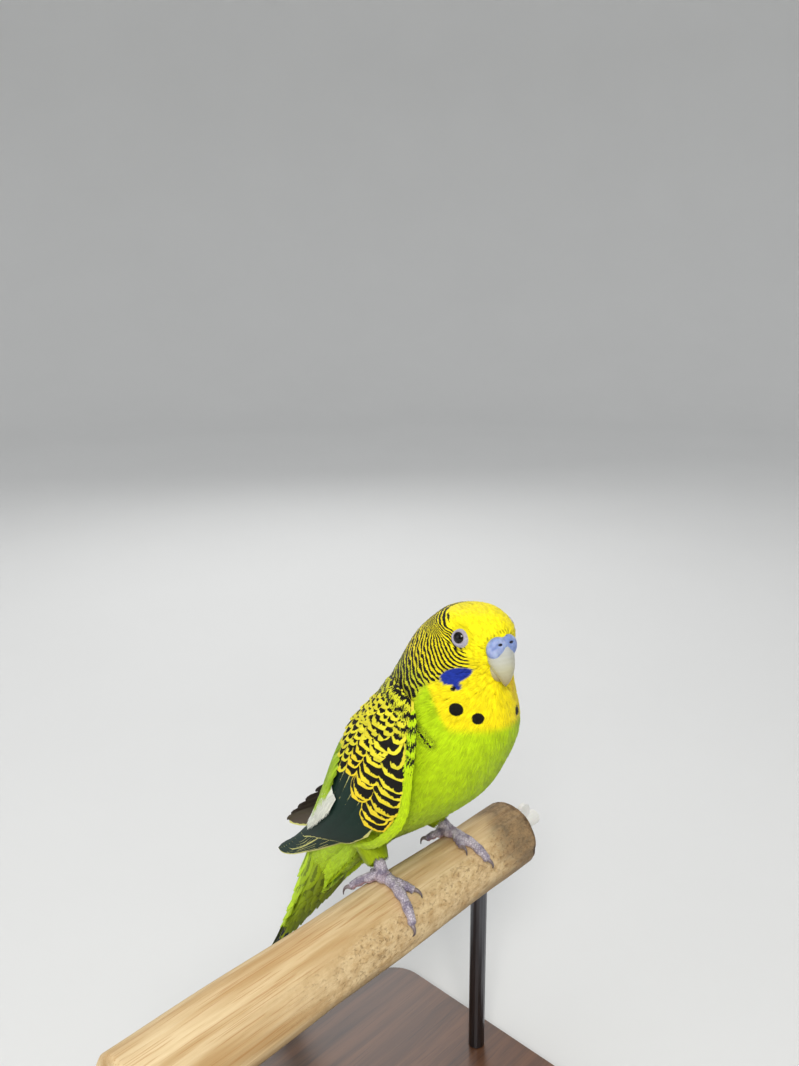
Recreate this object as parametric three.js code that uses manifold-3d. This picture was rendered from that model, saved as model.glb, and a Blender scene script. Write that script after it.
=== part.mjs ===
// A life-size male budgerigar, gripping a short cut length of natural wood on a plain display stand.
// Lengths are millimetres and +Z is up. The origin is the middle of the stand's underside.
// The bird faces -Y, its left side is +X, and the perch runs along X.
import * as THREE from "three";
import Module from "manifold-3d";
import { mergeVertices } from "three/addons/utils/BufferGeometryUtils.js";

const wasm = await Module();
wasm.setup();

// Driving dimensions

// The gap kept between two pieces that touch.
const GAP = 0.3;
const DEGREE = Math.PI / 180;

// The perch is a peeled branch, a little thicker at the end towards the bird's right.
const PERCH = { length: 140, radius: 10.7, taper: 0.3, ripple: 0.15, wave: 0.11, sides: 20, rings: 10 };
// The washer and the wing screw are at the perch's other end.
const WASHER = { radius: 7.5, thick: 1.4 };
const SCREW = { radius: 2.4, length: 11, head: 3.4, wing: 2.9, wingThick: 1.4, wingOut: 4.4 };
// The stand is a flat base and two rods up to the perch.
const BASE = { length: 128, width: 96, height: 6, corner: 12 };
const ROD = { radius: 2.6, from: 54, sides: 16 };
// The height of the perch's top leaves the hanging tail clear of the base and the floor.
const PERCH_TOP = 88;
// The bird's own frame starts level with the perch's top, off its middle and a little behind it.
const BIRD_X = 28;
const BIRD_Y = 5;
// The head turns this much towards the bird's right, about an upright axis through the neck.
const HEAD_TURN = 12 * DEGREE;
const TURN_Y = -17;
const TURN_FROM = 48;
const TURN_TO = 66;
// The left wing is held a little off the back.
const LEFT_WING_LIFT = 3.5 * DEGREE;

// Colours

const COLOURS = {
  green: 0x9fd321,
  yellow: 0xf6e51b,
  barred: 0xb9c023,
  flight: 0x2f3a26,
  tail: 0x5c7a2a,
  cere: 0x5f86d8,
  beak: 0xc9c9a6,
  eye: 0x0c0a0e,
  leg: 0xa9a3b8,
  claw: 0x5d5658,
  wood: 0xdcc08a,
  washer: 0x4a4038,
  screw: 0xe8e6e0,
  stand: 0x3a2a20,
  rod: 0x2b2b2e,
};

// Solid helpers

// A three.js geometry as a closed solid with its faces pointing out.
function solid(geometry) {
  const bare = geometry.clone();
  bare.deleteAttribute("normal");
  bare.deleteAttribute("uv");
  const merged = mergeVertices(bare, 1e-4);
  const vertProperties = merged.attributes.position.array;
  const triVerts = new Uint32Array(merged.index.array);
  const made = new wasm.Manifold(new wasm.Mesh({ numProp: 3, vertProperties, triVerts }));
  if (made.volume() > 0) return made;
  for (let i = 0; i < triVerts.length; i += 3)
    [triVerts[i + 1], triVerts[i + 2]] = [triVerts[i + 2], triVerts[i + 1]];
  return new wasm.Manifold(new wasm.Mesh({ numProp: 3, vertProperties, triVerts }));
}

// All the solids joined as one.
function joined(solids) {
  return solids.reduce((sum, next) => sum.add(next));
}

// The solid with each of the cutters taken away.
function cut(body, cutters) {
  return cutters.reduce((rest, cutter) => rest.subtract(cutter), body);
}

// The closed surface that holds the most, with any hollow and loose scrap dropped.
function largest(body) {
  return body.decompose().sort((a, b) => b.volume() - a.volume())[0];
}

// A named mesh of a solid.
function part(name, body, colour, roughness = 0.7, metalness = 0) {
  const kept = largest(body);
  const { numProp, numVert, vertProperties, triVerts } = kept.getMesh();
  const positions = new Float32Array(numVert * 3);
  for (let i = 0; i < numVert; i += 1)
    positions.set(vertProperties.subarray(i * numProp, i * numProp + 3), i * 3);
  const geometry = new THREE.BufferGeometry();
  geometry.setAttribute("position", new THREE.BufferAttribute(positions, 3));
  geometry.setIndex(new THREE.BufferAttribute(new Uint32Array(triVerts), 1));
  geometry.computeVertexNormals();
  const material = new THREE.MeshStandardMaterial({ color: colour, roughness, metalness });
  const mesh = new THREE.Mesh(geometry, material);
  mesh.name = name;
  return mesh;
}

// A solid turned and then moved by the same steps that a three.js object takes, then by a matrix, if any.
function placed(geometry, position, rotation = [0, 0, 0], scale = [1, 1, 1], matrix = null) {
  const own = new THREE.Matrix4().compose(
    new THREE.Vector3(...position),
    new THREE.Quaternion().setFromEuler(new THREE.Euler(...rotation)),
    new THREE.Vector3(...scale),
  );
  if (matrix) own.premultiply(matrix);
  return solid(geometry.clone().applyMatrix4(own));
}

// An ellipsoid with half axes in radii, grown all round by grow.
function ellipsoid(centre, radii, grow = 0, sides = 20, rotation = [0, 0, 0], matrix = null) {
  const half = radii.map((r) => r + grow);
  const sphere = new THREE.SphereGeometry(1, sides, Math.round(sides * 0.6));
  return placed(sphere, centre, rotation, half, matrix);
}

// A closed loft. section(t) gives the centre and the two half axes of an ellipse for t from 0 to 1,
// and the first and last centres close the ends.
function loft(section, sides, rings, grow = 0, matrix = null) {
  const geometry = new THREE.SphereGeometry(1, sides, rings);
  const position = geometry.attributes.position;
  const longer = (axis) => axis.clone().setLength(axis.length() + grow);
  const point = new THREE.Vector3();
  for (let i = 0; i < position.count; i += 1) {
    point.fromBufferAttribute(position, i);
    const t = Math.round((Math.acos(THREE.MathUtils.clamp(point.y, -1, 1)) / Math.PI) * rings) / rings;
    const { centre, across, through } = section(t);
    const spread = Math.hypot(point.x, point.z);
    const moved = centre.clone();
    if (t > 0 && t < 1) {
      moved.addScaledVector(longer(across), point.x / spread);
      moved.addScaledVector(longer(through), point.z / spread);
    } else {
      const inner = section(t === 0 ? 1 / rings : 1 - 1 / rings).centre;
      moved.addScaledVector(centre.clone().sub(inner).normalize(), grow);
    }
    position.setXYZ(i, moved.x, moved.y, moved.z);
  }
  if (matrix) geometry.applyMatrix4(matrix);
  return solid(geometry);
}

// A closed plate of rows by columns quads. point(u, v, face) gives its two faces, 0 below and 1 above,
// for u and v from 0 to 1. Both faces are split into triangles alike, so that a thin one never crosses.
function plate(rows, columns, point, matrix) {
  const positions = [];
  const triangles = [];
  const at = (i, j, face) => (face * (rows + 1) + i) * (columns + 1) + j;
  for (const face of [0, 1])
    for (let i = 0; i <= rows; i += 1)
      for (let j = 0; j <= columns; j += 1)
        positions.push(...point(i / rows, j / columns, face).toArray());
  for (let i = 0; i < rows; i += 1)
    for (let j = 0; j < columns; j += 1) {
      const corners = (face) =>
        [at(i, j, face), at(i + 1, j, face), at(i + 1, j + 1, face), at(i, j + 1, face)];
      const [a, b, c, d] = corners(1);
      const [e, f, g, h] = corners(0);
      triangles.push(a, b, c, a, c, d, e, g, f, e, h, g);
    }
  const rim = [];
  for (let i = 0; i < rows; i += 1) rim.push([i, 0]);
  for (let j = 0; j < columns; j += 1) rim.push([rows, j]);
  for (let i = rows; i > 0; i -= 1) rim.push([i, columns]);
  for (let j = columns; j > 0; j -= 1) rim.push([0, j]);
  rim.forEach(([i, j], k) => {
    const [m, n] = rim[(k + 1) % rim.length];
    triangles.push(at(i, j, 1), at(i, j, 0), at(m, n, 0), at(i, j, 1), at(m, n, 0), at(m, n, 1));
  });
  const geometry = new THREE.BufferGeometry();
  geometry.setAttribute("position", new THREE.Float32BufferAttribute(positions, 3));
  geometry.setIndex(triangles);
  if (matrix) geometry.applyMatrix4(matrix);
  return solid(geometry);
}

// A feather's vane as a plate with a round end, which starts at the share blunt of its length. half is half
// its width. place(u, across, up) sets a point of it in space, for u from 0 at its root to 1 at its tip.
const VANE = { rows: 4, thick: 0.6, blunt: 0.7 };
function vane(half, place) {
  return plate(VANE.rows, 2, (v, w, face) => {
    const u = 1 - (1 - v) ** 1.9;
    const end = THREE.MathUtils.clamp((u - VANE.blunt) / (1 - VANE.blunt), 0, 1);
    const width = half * Math.min(1, 0.75 + u) * Math.sqrt(1 - 0.93 * end ** 2.4);
    const side = 2 * w - 1;
    const up = VANE.thick * (side === 0 ? 0.6 : 0.45);
    return place(u, side * width, face === 1 ? up : -up);
  });
}

// The section of a body that is symmetric about x = 0. Each row is [half width, front y, z, back y, z].
function profileSection(rows) {
  const front = new THREE.CatmullRomCurve3(rows.map(([w, y, z]) => new THREE.Vector3(w, y, z)));
  const back = new THREE.CatmullRomCurve3(rows.map(([w, , , y, z]) => new THREE.Vector3(w, y, z)));
  return (t) => {
    const f = front.getPoint(t);
    const b = back.getPoint(t);
    return {
      centre: new THREE.Vector3(0, (f.y + b.y) / 2, (f.z + b.z) / 2),
      across: new THREE.Vector3(Math.max(f.x, 0.01), 0, 0),
      through: new THREE.Vector3(0, (f.y - b.y) / 2 - 0.005, (f.z - b.z) / 2),
    };
  };
}

// A round limb along a curve, with its radius as a function of the share of its length.
function limb(curve, radius, sides, rings, grow = 0, flat = 1) {
  const up = new THREE.Vector3(1, 0.2, 0.1);
  const section = (t) => {
    const along = curve.getTangent(t);
    const across = up.clone().addScaledVector(along, -up.dot(along)).normalize();
    const through = along.clone().cross(across);
    const r = radius(t);
    return {
      centre: curve.getPoint(t),
      across: across.multiplyScalar(r),
      through: through.multiplyScalar(r * flat),
    };
  };
  return loft(section, sides, rings, grow);
}

// Body

// Each row is [half width, front y, z, back y, z], from the crown to the coverts over the tail's root.
const BODY_ROWS = [
  [0, -22.8, 82.6, -22.8, 82.6],
  [6.4, -30.4, 81.4, -15.6, 80.8],
  [9.6, -35.0, 78.0, -10.0, 76.8],
  [11.2, -34.9, 73.2, -4.6, 71.8],
  [12.4, -33.8, 67.4, 0.2, 65.4],
  [13.4, -34.6, 61.2, 4.4, 58.8],
  [14.8, -35.4, 54.8, 8.2, 51.8],
  [17.0, -34.6, 47.6, 12.6, 44.6],
  [18.2, -31.2, 39.4, 17.8, 36.2],
  [18.6, -25.8, 29.8, 23.2, 27.4],
  [17.8, -17.0, 20.6, 28.4, 18.2],
  [15.8, -6.0, 11.4, 33.2, 9.0],
  [12.8, 6.0, 2.0, 37.6, -0.2],
  [9.6, 17.0, -8.0, 41.0, -9.8],
  [7.2, 25.8, -16.8, 43.8, -18.8],
  [5.8, 33.0, -26.2, 46.6, -28.0],
  [4.6, 39.8, -35.0, 49.4, -36.6],
  [0, 48.5, -44.5, 48.5, -44.5],
];
const BODY_SIDES = 28;
const BODY_RINGS = 34;
const straightSection = profileSection(BODY_ROWS);

// A point or a direction of the head, turned as far as its height says.
function turned(vector, height, isPoint) {
  const angle = -HEAD_TURN * THREE.MathUtils.smoothstep(height, TURN_FROM, TURN_TO);
  const pivot = new THREE.Vector3(0, isPoint ? TURN_Y : 0, 0);
  return vector.clone().sub(pivot).applyAxisAngle(new THREE.Vector3(0, 0, 1), angle).add(pivot);
}

function bodySection(t) {
  const { centre, across, through } = straightSection(t);
  return {
    centre: turned(centre, centre.z, true),
    across: turned(across, centre.z, false),
    through: turned(through, centre.z, false),
  };
}

// The feathered thighs bulge from the belly beside the legs.
const THIGH = { x: 10, y: 7.5, z: 10, radii: [5.4, 7.5, 6.6] };
const thigh = (side, grow) => ellipsoid([side * THIGH.x, THIGH.y, THIGH.z], THIGH.radii, grow, 12);

function wholeBody(grow) {
  return joined([loft(bodySection, BODY_SIDES, BODY_RINGS, grow), thigh(-1, grow), thigh(1, grow)]);
}

// A thin slab across the body, where two of its parts meet.
const SLAB_SIZE = 120;
function slab(y, z, tilt) {
  return placed(new THREE.BoxGeometry(SLAB_SIZE, SLAB_SIZE, GAP), [0, y, z], [tilt, 0, 0]);
}
const HEAD_CUT = slab(-16, 60.5, 12 * DEGREE);
const NECK_CUT = slab(-12, 49.5, 20 * DEGREE);
const TAIL_CUT = slab(32, -13.5, 40 * DEGREE);
const byHeight = (a, b) => b.boundingBox().max[2] - a.boundingBox().max[2];
const grownBody = wholeBody(GAP);
const bodyParts = cut(wholeBody(0), [HEAD_CUT, NECK_CUT, TAIL_CUT]).decompose().sort(byHeight);
const [bareHead, neck, torso, tailRoot] = bodyParts;

// Head

// Places on the head are given as if it looked straight ahead, and this turns them with it.
const ON_HEAD = new THREE.Matrix4()
  .makeTranslation(0, TURN_Y, 0)
  .multiply(new THREE.Matrix4().makeRotationZ(-HEAD_TURN))
  .multiply(new THREE.Matrix4().makeTranslation(0, -TURN_Y, 0));

const EYE = { x: 7.2, y: -27.5, z: 76.4, radius: 2.1, lid: 2.0, lidTube: 0.5 };
const CERE = { x: 1.9, y: -34.2, z: 75.7, radii: [2.6, 1.8, 2.7] };
const NOSTRIL = { x: 1.9, y: -35.8, z: 77.1, radius: 0.4, length: 2.4 };

// An eyeball, with its outer side just proud of the head.
const LEVEL = [0, 0, 0];
function eye(side, grow) {
  const radii = [EYE.radius, EYE.radius, EYE.radius];
  return ellipsoid([side * EYE.x, EYE.y, EYE.z], radii, grow, 12, LEVEL, ON_HEAD);
}

// The bare ring of lid around an eye.
function lidRing(side) {
  const ring = new THREE.TorusGeometry(EYE.lid, EYE.lidTube, 5, 14);
  ring.rotateY(side * 68 * DEGREE);
  return placed(ring, [side * (EYE.x + 0.45), EYE.y - 0.2, EYE.z], LEVEL, [1, 1, 1], ON_HEAD);
}

// The cere is two rounded lobes over the bill, each with a nostril.
function cereLobes(grow) {
  const lobe = (side) =>
    ellipsoid([side * CERE.x, CERE.y, CERE.z], CERE.radii, grow, 14, LEVEL, ON_HEAD);
  return joined([lobe(-1), lobe(1)]);
}
function nostril(side) {
  const hole = new THREE.CylinderGeometry(NOSTRIL.radius, NOSTRIL.radius, NOSTRIL.length, 8);
  return placed(hole, [side * NOSTRIL.x, NOSTRIL.y, NOSTRIL.z], LEVEL, [1.4, 1, 1], ON_HEAD);
}

// Each row is [half width, front y, z, back y, z], as for the body.
const UPPER_BILL_ROWS = [
  [0, -33.4, 76.4, -33.4, 76.4],
  [3.2, -35.8, 75.2, -31.0, 73.8],
  [3.3, -37.0, 72.2, -31.4, 71.4],
  [2.8, -37.6, 69.6, -33.0, 69.2],
  [1.9, -37.3, 67.2, -34.4, 67.2],
  [0.9, -36.6, 65.4, -35.3, 65.6],
  [0, -35.9, 64.5, -35.9, 64.5],
];
const LOWER_BILL_ROWS = [
  [0, -31.8, 71.0, -31.8, 71.0],
  [2.3, -34.0, 70.0, -30.6, 69.2],
  [2.3, -35.2, 68.2, -31.6, 66.8],
  [1.5, -35.4, 66.6, -32.8, 65.4],
  [0, -34.6, 65.2, -34.6, 65.2],
];
const upperBill = (grow) => loft(profileSection(UPPER_BILL_ROWS), 12, 12, grow, ON_HEAD);
const lowerBill = (grow) => loft(profileSection(LOWER_BILL_ROWS), 10, 8, grow, ON_HEAD);

const head = cut(bareHead.add(lidRing(-1)).add(lidRing(1)), [
  eye(-1, GAP),
  eye(1, GAP),
  cereLobes(GAP),
  upperBill(GAP),
  lowerBill(GAP),
]);
const cere = cut(cereLobes(0), [nostril(-1), nostril(1)]);
const billUpper = cut(upperBill(0), [cereLobes(GAP)]);
const billLower = cut(lowerBill(0), [cereLobes(GAP), upperBill(GAP)]);

// Wings

// The outer face of the folded right wing lies between a lower edge, towards the breast, and an upper
// edge, towards the back. Both run from the shoulder to the wing's tip.
const LOWER_EDGE = [
  [-14.0, -12.4, 58.0],
  [-19.0, -14.4, 46.0],
  [-20.4, -12.6, 34.0],
  [-19.4, -3.4, 21.4],
  [-16.4, 11.4, 8.6],
  [-12.0, 28.6, -4.2],
  [-7.6, 44.6, -14.6],
  [-4.6, 57.4, -22.0],
];
const UPPER_EDGE = [
  [-10.5, -3.2, 60.0],
  [-8.2, 6.8, 48.0],
  [-9.0, 15.8, 36.8],
  [-11.4, 20.4, 25.5],
  [-12.4, 25.0, 13.2],
  [-9.6, 33.6, 0.4],
  [-6.6, 45.4, -11.8],
  [-4.4, 57.4, -21.2],
];
// How far the face bulges between its edges, in equal steps from the shoulder to the tip.
const WING_BULGE = [1.0, 4.2, 5.9, 5.2, 3.6, 2.0, 0.9, 0.3];
const toVectors = (rows) => rows.map((row) => new THREE.Vector3(...row));
const lowerEdge = new THREE.CatmullRomCurve3(toVectors(LOWER_EDGE));
const upperEdge = new THREE.CatmullRomCurve3(toVectors(UPPER_EDGE));
const wingBulge = new THREE.CatmullRomCurve3(WING_BULGE.map((b, i) => new THREE.Vector3(i, b, 0)));

// Half the distance between the two edges.
const wingReach = (s) => lowerEdge.getPoint(s).distanceTo(upperEdge.getPoint(s)) / 2;

// A point of the right wing: s from 0 at the shoulder to 1 at the tip, x millimetres from its middle line
// towards the upper edge, and n millimetres out from its face.
const NARROWEST = 4;
function rightWingPoint(s, x, n) {
  const low = lowerEdge.getPoint(s);
  const high = upperEdge.getPoint(s);
  const along = lowerEdge.getTangent(s).add(upperEdge.getTangent(s)).normalize();
  const across = high.clone().sub(low);
  const reach = Math.max(across.length() / 2, NARROWEST);
  across.addScaledVector(along, -across.dot(along)).normalize();
  const out = across.clone().cross(along);
  if (out.x > 0) out.negate();
  const bulge = wingBulge.getPoint(s).y * (1 - (x / reach) ** 2);
  return low.add(high).multiplyScalar(0.5).addScaledVector(across, x).addScaledVector(out, bulge + n);
}

// The left wing is the right one's mirror image, lifted about the shoulder.
const SHOULDER = new THREE.Vector3(15, -12, 55);
function wingPoint(side, s, x, n, fan = 0) {
  const point = rightWingPoint(s, x, n);
  if (side < 0) return point;
  point.x = -point.x;
  return point.sub(SHOULDER).applyAxisAngle(new THREE.Vector3(1, 0, 0), LEFT_WING_LIFT + fan).add(SHOULDER);
}

// The body of the wing under its feathers. It runs into the body, and thins towards its edges.
const CORE = { end: 0.66, rows: 11, columns: 6, deep: 6, edge: 1.3 };
function wingCore(side) {
  return plate(CORE.rows, CORE.columns, (u, v, face) => {
    const h = 2 * v - 1;
    const s = CORE.end * u;
    const round = 1 - 0.5 * Math.max(0, 1 - 5 * u);
    const top = -CORE.edge * h * h - 0.6 * u;
    const bottom = top - 0.8 - CORE.deep * (1 - u * u) * (1 - 0.6 * h * h);
    return wingPoint(side, s, h * wingReach(s) * round, face === 1 ? top : bottom);
  });
}

// The rows of feathers, from the shoulder down. Feather i of count has its root at s = from and its tip at
// s = to(k) with k = i / (count - 1). root and tip are shares of the wing's reach, each first for the lowest
// feather and then for the highest. lift is how far the row rises from root to tip, and fan is how far the
// left wing's last feather swings off the back.
const FEATHER_ROWS = [
  {
    count: 4,
    half: 4.6,
    from: 0.07,
    to: () => 0.26,
    root: [-0.7, 0.6],
    tip: [-0.72, 0.64],
    lift: [-1.8, 0.3],
    fan: 0,
  },
  {
    count: 5,
    half: 4.2,
    from: 0.2,
    to: () => 0.42,
    root: [-0.74, 0.7],
    tip: [-0.76, 0.68],
    lift: [-1.8, 0.2],
    fan: 0,
  },
  {
    count: 5,
    half: 3.5,
    from: 0.36,
    to: (k) => 0.64 + 0.12 * k,
    root: [-0.6, 0.6],
    tip: [-0.56, 0.76],
    lift: [-1.5, 0.2],
    fan: 4.5 * DEGREE,
  },
  {
    count: 6,
    half: 2.5,
    from: 0.44,
    to: (k) => 1 - 0.17 * k ** 1.3,
    root: [-0.7, 0.3],
    tip: [-0.3, 0.9],
    lift: [-1.7, -0.3],
    fan: 4 * DEGREE,
  },
];
// Each vane leans, so that its upper edge slips under the next, and lies a step above the one below.
const VANE_LEAN = 0.42;
const VANE_STEP = 0.1;
function wingFeather(side, row, k) {
  const mix = THREE.MathUtils.lerp;
  return vane(row.half, (u, across, up) => {
    const s = mix(row.from, row.to(k), u);
    const h = mix(mix(...row.root, k), mix(...row.tip, k), u);
    const lean = (-VANE_LEAN * across) / row.half + VANE_STEP * k * (row.count - 1);
    const n = mix(...row.lift, Math.min(1, u * 1.4)) + lean + up;
    return wingPoint(side, s, h * wingReach(s) + across, n, row.fan * k * u);
  });
}
function wingFeathers(side) {
  const shares = (count) => [...Array(count).keys()].map((i) => i / (count - 1));
  return FEATHER_ROWS.flatMap((row) => shares(row.count).map((k) => wingFeather(side, row, k)));
}

function wingSolid(side) {
  return cut(joined([wingCore(side), ...wingFeathers(side)]), [grownBody, tailSolid(GAP)]);
}

// Tail

// The tail is a narrow wedge that hangs down behind the perch.
const TAIL = { y: 33.3, z: -8, drop: 61 * DEGREE, length: 86 };
const tailAlong = new THREE.Vector3(0, Math.cos(TAIL.drop), -Math.sin(TAIL.drop));
const tailUp = new THREE.Vector3(0, Math.sin(TAIL.drop), Math.cos(TAIL.drop));
// A point of the tail: millimetres along it, across it and up from its upper face.
function tailPoint(along, across, up) {
  const start = new THREE.Vector3(across, TAIL.y, TAIL.z);
  return start.addScaledVector(tailAlong, along).addScaledVector(tailUp, up);
}
// Six pairs of tail feathers, the middle pair longest and on top.
const TAIL_PAIRS = 6;
const TAIL_ROOT = 14;
const tailLength = (k) => TAIL.length * [1, 0.93, 0.8, 0.7, 0.62, 0.55][k];
function tailFeather(k, side, grow) {
  const layer = -0.5 * k + (side > 0 ? 0.12 : -0.12);
  const half = 3.3 - 0.2 * k;
  return vane(half + grow, (u, across, up) => {
    const along = TAIL_ROOT + (tailLength(k) + grow - TAIL_ROOT) * u;
    const centre = side * (0.75 + 0.62 * k) * (1 - 0.35 * u);
    const taper = 1 - 0.3 * u;
    const lean = (-side * 0.3 * across) / half;
    const thick = up * (1 + grow / VANE.thick);
    return tailPoint(along, centre + across * taper, layer + lean + thick);
  });
}
function tailFan(grow) {
  const pairs = [...Array(TAIL_PAIRS).keys()];
  return joined(pairs.flatMap((k) => [tailFeather(k, -1, grow), tailFeather(k, 1, grow)]));
}
const tail = tailRoot.add(tailFan(0));
const tailSolid = (grow) => tailFan(grow * 2);

// Legs and feet

// A point beside the perch: x along it, the angle from its top towards the breast, and the distance out.
function perchPoint(x, angle, out) {
  const radius = PERCH.radius + out;
  const [ahead, up] = [radius * Math.sin(angle), radius * Math.cos(angle)];
  return new THREE.Vector3(x, -ahead - BIRD_Y, up - PERCH.radius);
}

// Each foot grips with two toes in front, 2 and 3, and two behind, 1 and 4. A toe starts at an angle from the
// foot's middle and ends at another, both round the perch, and runs out along the perch by its splay.
const TOE_RADIUS = [1.15, 1.2, 1.3, 1.25];
const CLAW = { radius: 0.85, sweep: 21 };
const FEET = [
  {
    name: "right",
    side: -1,
    x: -15.2,
    angle: -6,
    toes: [
      { start: -8, end: -36, splay: -3.0 },
      { start: 10, end: 40, splay: -3.6 },
      { start: 12, end: 74, splay: 2.0 },
      { start: -8, end: -44, splay: 5.0 },
    ],
  },
  {
    name: "left",
    side: 1,
    x: 14.2,
    angle: -10,
    toes: [
      { start: -8, end: -36, splay: -3.0 },
      { start: 10, end: 32, splay: -2.4 },
      { start: 12, end: 66, splay: 2.8 },
      { start: -8, end: -44, splay: 4.0 },
    ],
  },
];

function toeCurve(foot, digit) {
  const { start, end, splay } = foot.toes[digit];
  const points = [0, 0.2, 0.4, 0.6, 0.8, 1].map((u) => {
    const angle = foot.angle + (u === 0 ? start * 0.4 : start + (end - start) * u);
    const lift = TOE_RADIUS[digit] + GAP + (u === 0 ? 0.6 : 0.15);
    return perchPoint(foot.x + foot.side * splay * u, angle * DEGREE, lift);
  });
  return new THREE.CatmullRomCurve3(points);
}
const toeRadius = (digit) => (u) => TOE_RADIUS[digit] * (1 - 0.28 * u + 0.07 * Math.cos(u * Math.PI * 6));
const toeSolid = (foot, digit, grow) => limb(toeCurve(foot, digit), toeRadius(digit), 8, 9, grow);

function clawCurve(foot, digit) {
  const { end, splay } = foot.toes[digit];
  const points = [0, 0.35, 0.7, 1].map((u) => {
    const lift = 1.15 + 1.5 * Math.sin(u * 2.6) - 0.5 * u;
    const angle = foot.angle + end + Math.sign(end) * (u * CLAW.sweep - 2);
    return perchPoint(foot.x + foot.side * splay * (1 + 0.3 * u), angle * DEGREE, lift);
  });
  return new THREE.CatmullRomCurve3(points);
}
const clawRadius = (u) => CLAW.radius * (1 - 0.82 * u);
const clawSolid = (foot, digit) => limb(clawCurve(foot, digit), clawRadius, 6, 6);

function footSolid(foot, grow) {
  const palm = perchPoint(foot.x, foot.angle * DEGREE, 1.9);
  const pad = ellipsoid(palm.toArray(), [2.3, 3.0, 1.6], grow, 10, [foot.angle * DEGREE, 0, 0]);
  return joined([pad, ...foot.toes.map((toe, digit) => toeSolid(foot, digit, grow))]);
}

function legCurve(foot) {
  const sole = perchPoint(foot.x, foot.angle * DEGREE, 2.4);
  return new THREE.CatmullRomCurve3([
    sole,
    sole.clone().add(new THREE.Vector3(-foot.side * 0.7, 2.0, 2.0)),
    new THREE.Vector3(foot.side * 13.2, 1.6, 5.4),
    new THREE.Vector3(foot.side * 12.0, 6.5, 9.8),
  ]);
}
const legRadius = (u) => 1.75 - 0.35 * Math.sin(u * Math.PI);
const legSolid = (foot) => limb(legCurve(foot), legRadius, 10, 8);

// Perch

// The branch is a cylinder whose thickness tapers and ripples slowly. x runs from its middle.
function branchRadius(x) {
  return PERCH.radius - (PERCH.taper * x) / PERCH.length + PERCH.ripple * Math.sin(x * PERCH.wave);
}
function perchSolid(grow) {
  const geometry = new THREE.CylinderGeometry(1, 1, PERCH.length + 2 * grow, PERCH.sides, PERCH.rings);
  geometry.rotateZ(-90 * DEGREE);
  const position = geometry.attributes.position;
  for (let i = 0; i < position.count; i += 1) {
    const radius = branchRadius(position.getX(i)) + grow;
    position.setY(i, position.getY(i) * radius);
    position.setZ(i, position.getZ(i) * radius - PERCH.radius);
  }
  return solid(geometry);
}

const grownPerch = perchSolid(GAP);
const END_X = PERCH.length / 2;
const onPerchEnd = (geometry, x) => placed(geometry, [x, 0, -PERCH.radius], [0, 0, -90 * DEGREE]);
const washer = onPerchEnd(
  new THREE.CylinderGeometry(WASHER.radius, WASHER.radius, WASHER.thick, 24),
  END_X + GAP + WASHER.thick / 2,
);
const SCREW_X = END_X + GAP * 2 + WASHER.thick;
function screwSolid() {
  const shank = onPerchEnd(
    new THREE.CylinderGeometry(SCREW.radius, SCREW.radius, SCREW.length, 16),
    SCREW_X + SCREW.length / 2,
  );
  const nut = onPerchEnd(new THREE.CylinderGeometry(SCREW.head * 0.8, SCREW.head, 4, 16), SCREW_X + 2);
  const disc = new THREE.CylinderGeometry(SCREW.wing, SCREW.wing, SCREW.wingThick, 16);
  const wing = (side) => placed(disc, [SCREW_X + 4.6, 0, side * SCREW.wingOut - PERCH.radius]);
  return joined([shank, nut, wing(-1), wing(1)]);
}

// Stand

function standBase() {
  const outline = new THREE.Shape();
  const { length, width, corner } = BASE;
  const [x, y] = [length / 2, width / 2];
  outline.moveTo(-x + corner, -y);
  outline.lineTo(x - corner, -y);
  outline.absarc(x - corner, -y + corner, corner, -Math.PI / 2, 0);
  outline.absarc(x - corner, y - corner, corner, 0, Math.PI / 2);
  outline.absarc(-x + corner, y - corner, corner, Math.PI / 2, Math.PI);
  outline.absarc(-x + corner, -y + corner, corner, Math.PI, Math.PI * 1.5);
  const settings = { depth: BASE.height, bevelEnabled: false, curveSegments: 8 };
  return solid(new THREE.ExtrudeGeometry(outline, settings));
}
const AXIS_Z = PERCH_TOP - PERCH.radius;
function rodSolid(x) {
  const height = AXIS_Z - BASE.height - GAP;
  const rod = new THREE.CylinderGeometry(ROD.radius, ROD.radius, height, ROD.sides);
  const upright = placed(rod, [x, 0, BASE.height + GAP + height / 2], [90 * DEGREE, 0, 0]);
  const perchAbove = grownPerch.translate([0, 0, PERCH_TOP]);
  return upright.subtract(perchAbove);
}

// Scene

const group = new THREE.Group();
const bird = new THREE.Group();
bird.position.set(BIRD_X, BIRD_Y, PERCH_TOP);
bird.add(part("head", head, COLOURS.yellow));
bird.add(part("neck", neck, COLOURS.barred));
bird.add(part("torso", torso, COLOURS.green));
bird.add(part("cere", cere, COLOURS.cere, 0.5));
bird.add(part("beak_upper", billUpper, COLOURS.beak, 0.35));
bird.add(part("beak_lower", billLower, COLOURS.beak, 0.35));
bird.add(part("eye_right", eye(-1, 0), COLOURS.eye, 0.1));
bird.add(part("eye_left", eye(1, 0), COLOURS.eye, 0.1));
bird.add(part("tail", tail, COLOURS.tail));
bird.add(part("wing_right", wingSolid(-1), COLOURS.flight));
bird.add(part("wing_left", wingSolid(1), COLOURS.flight));

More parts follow.
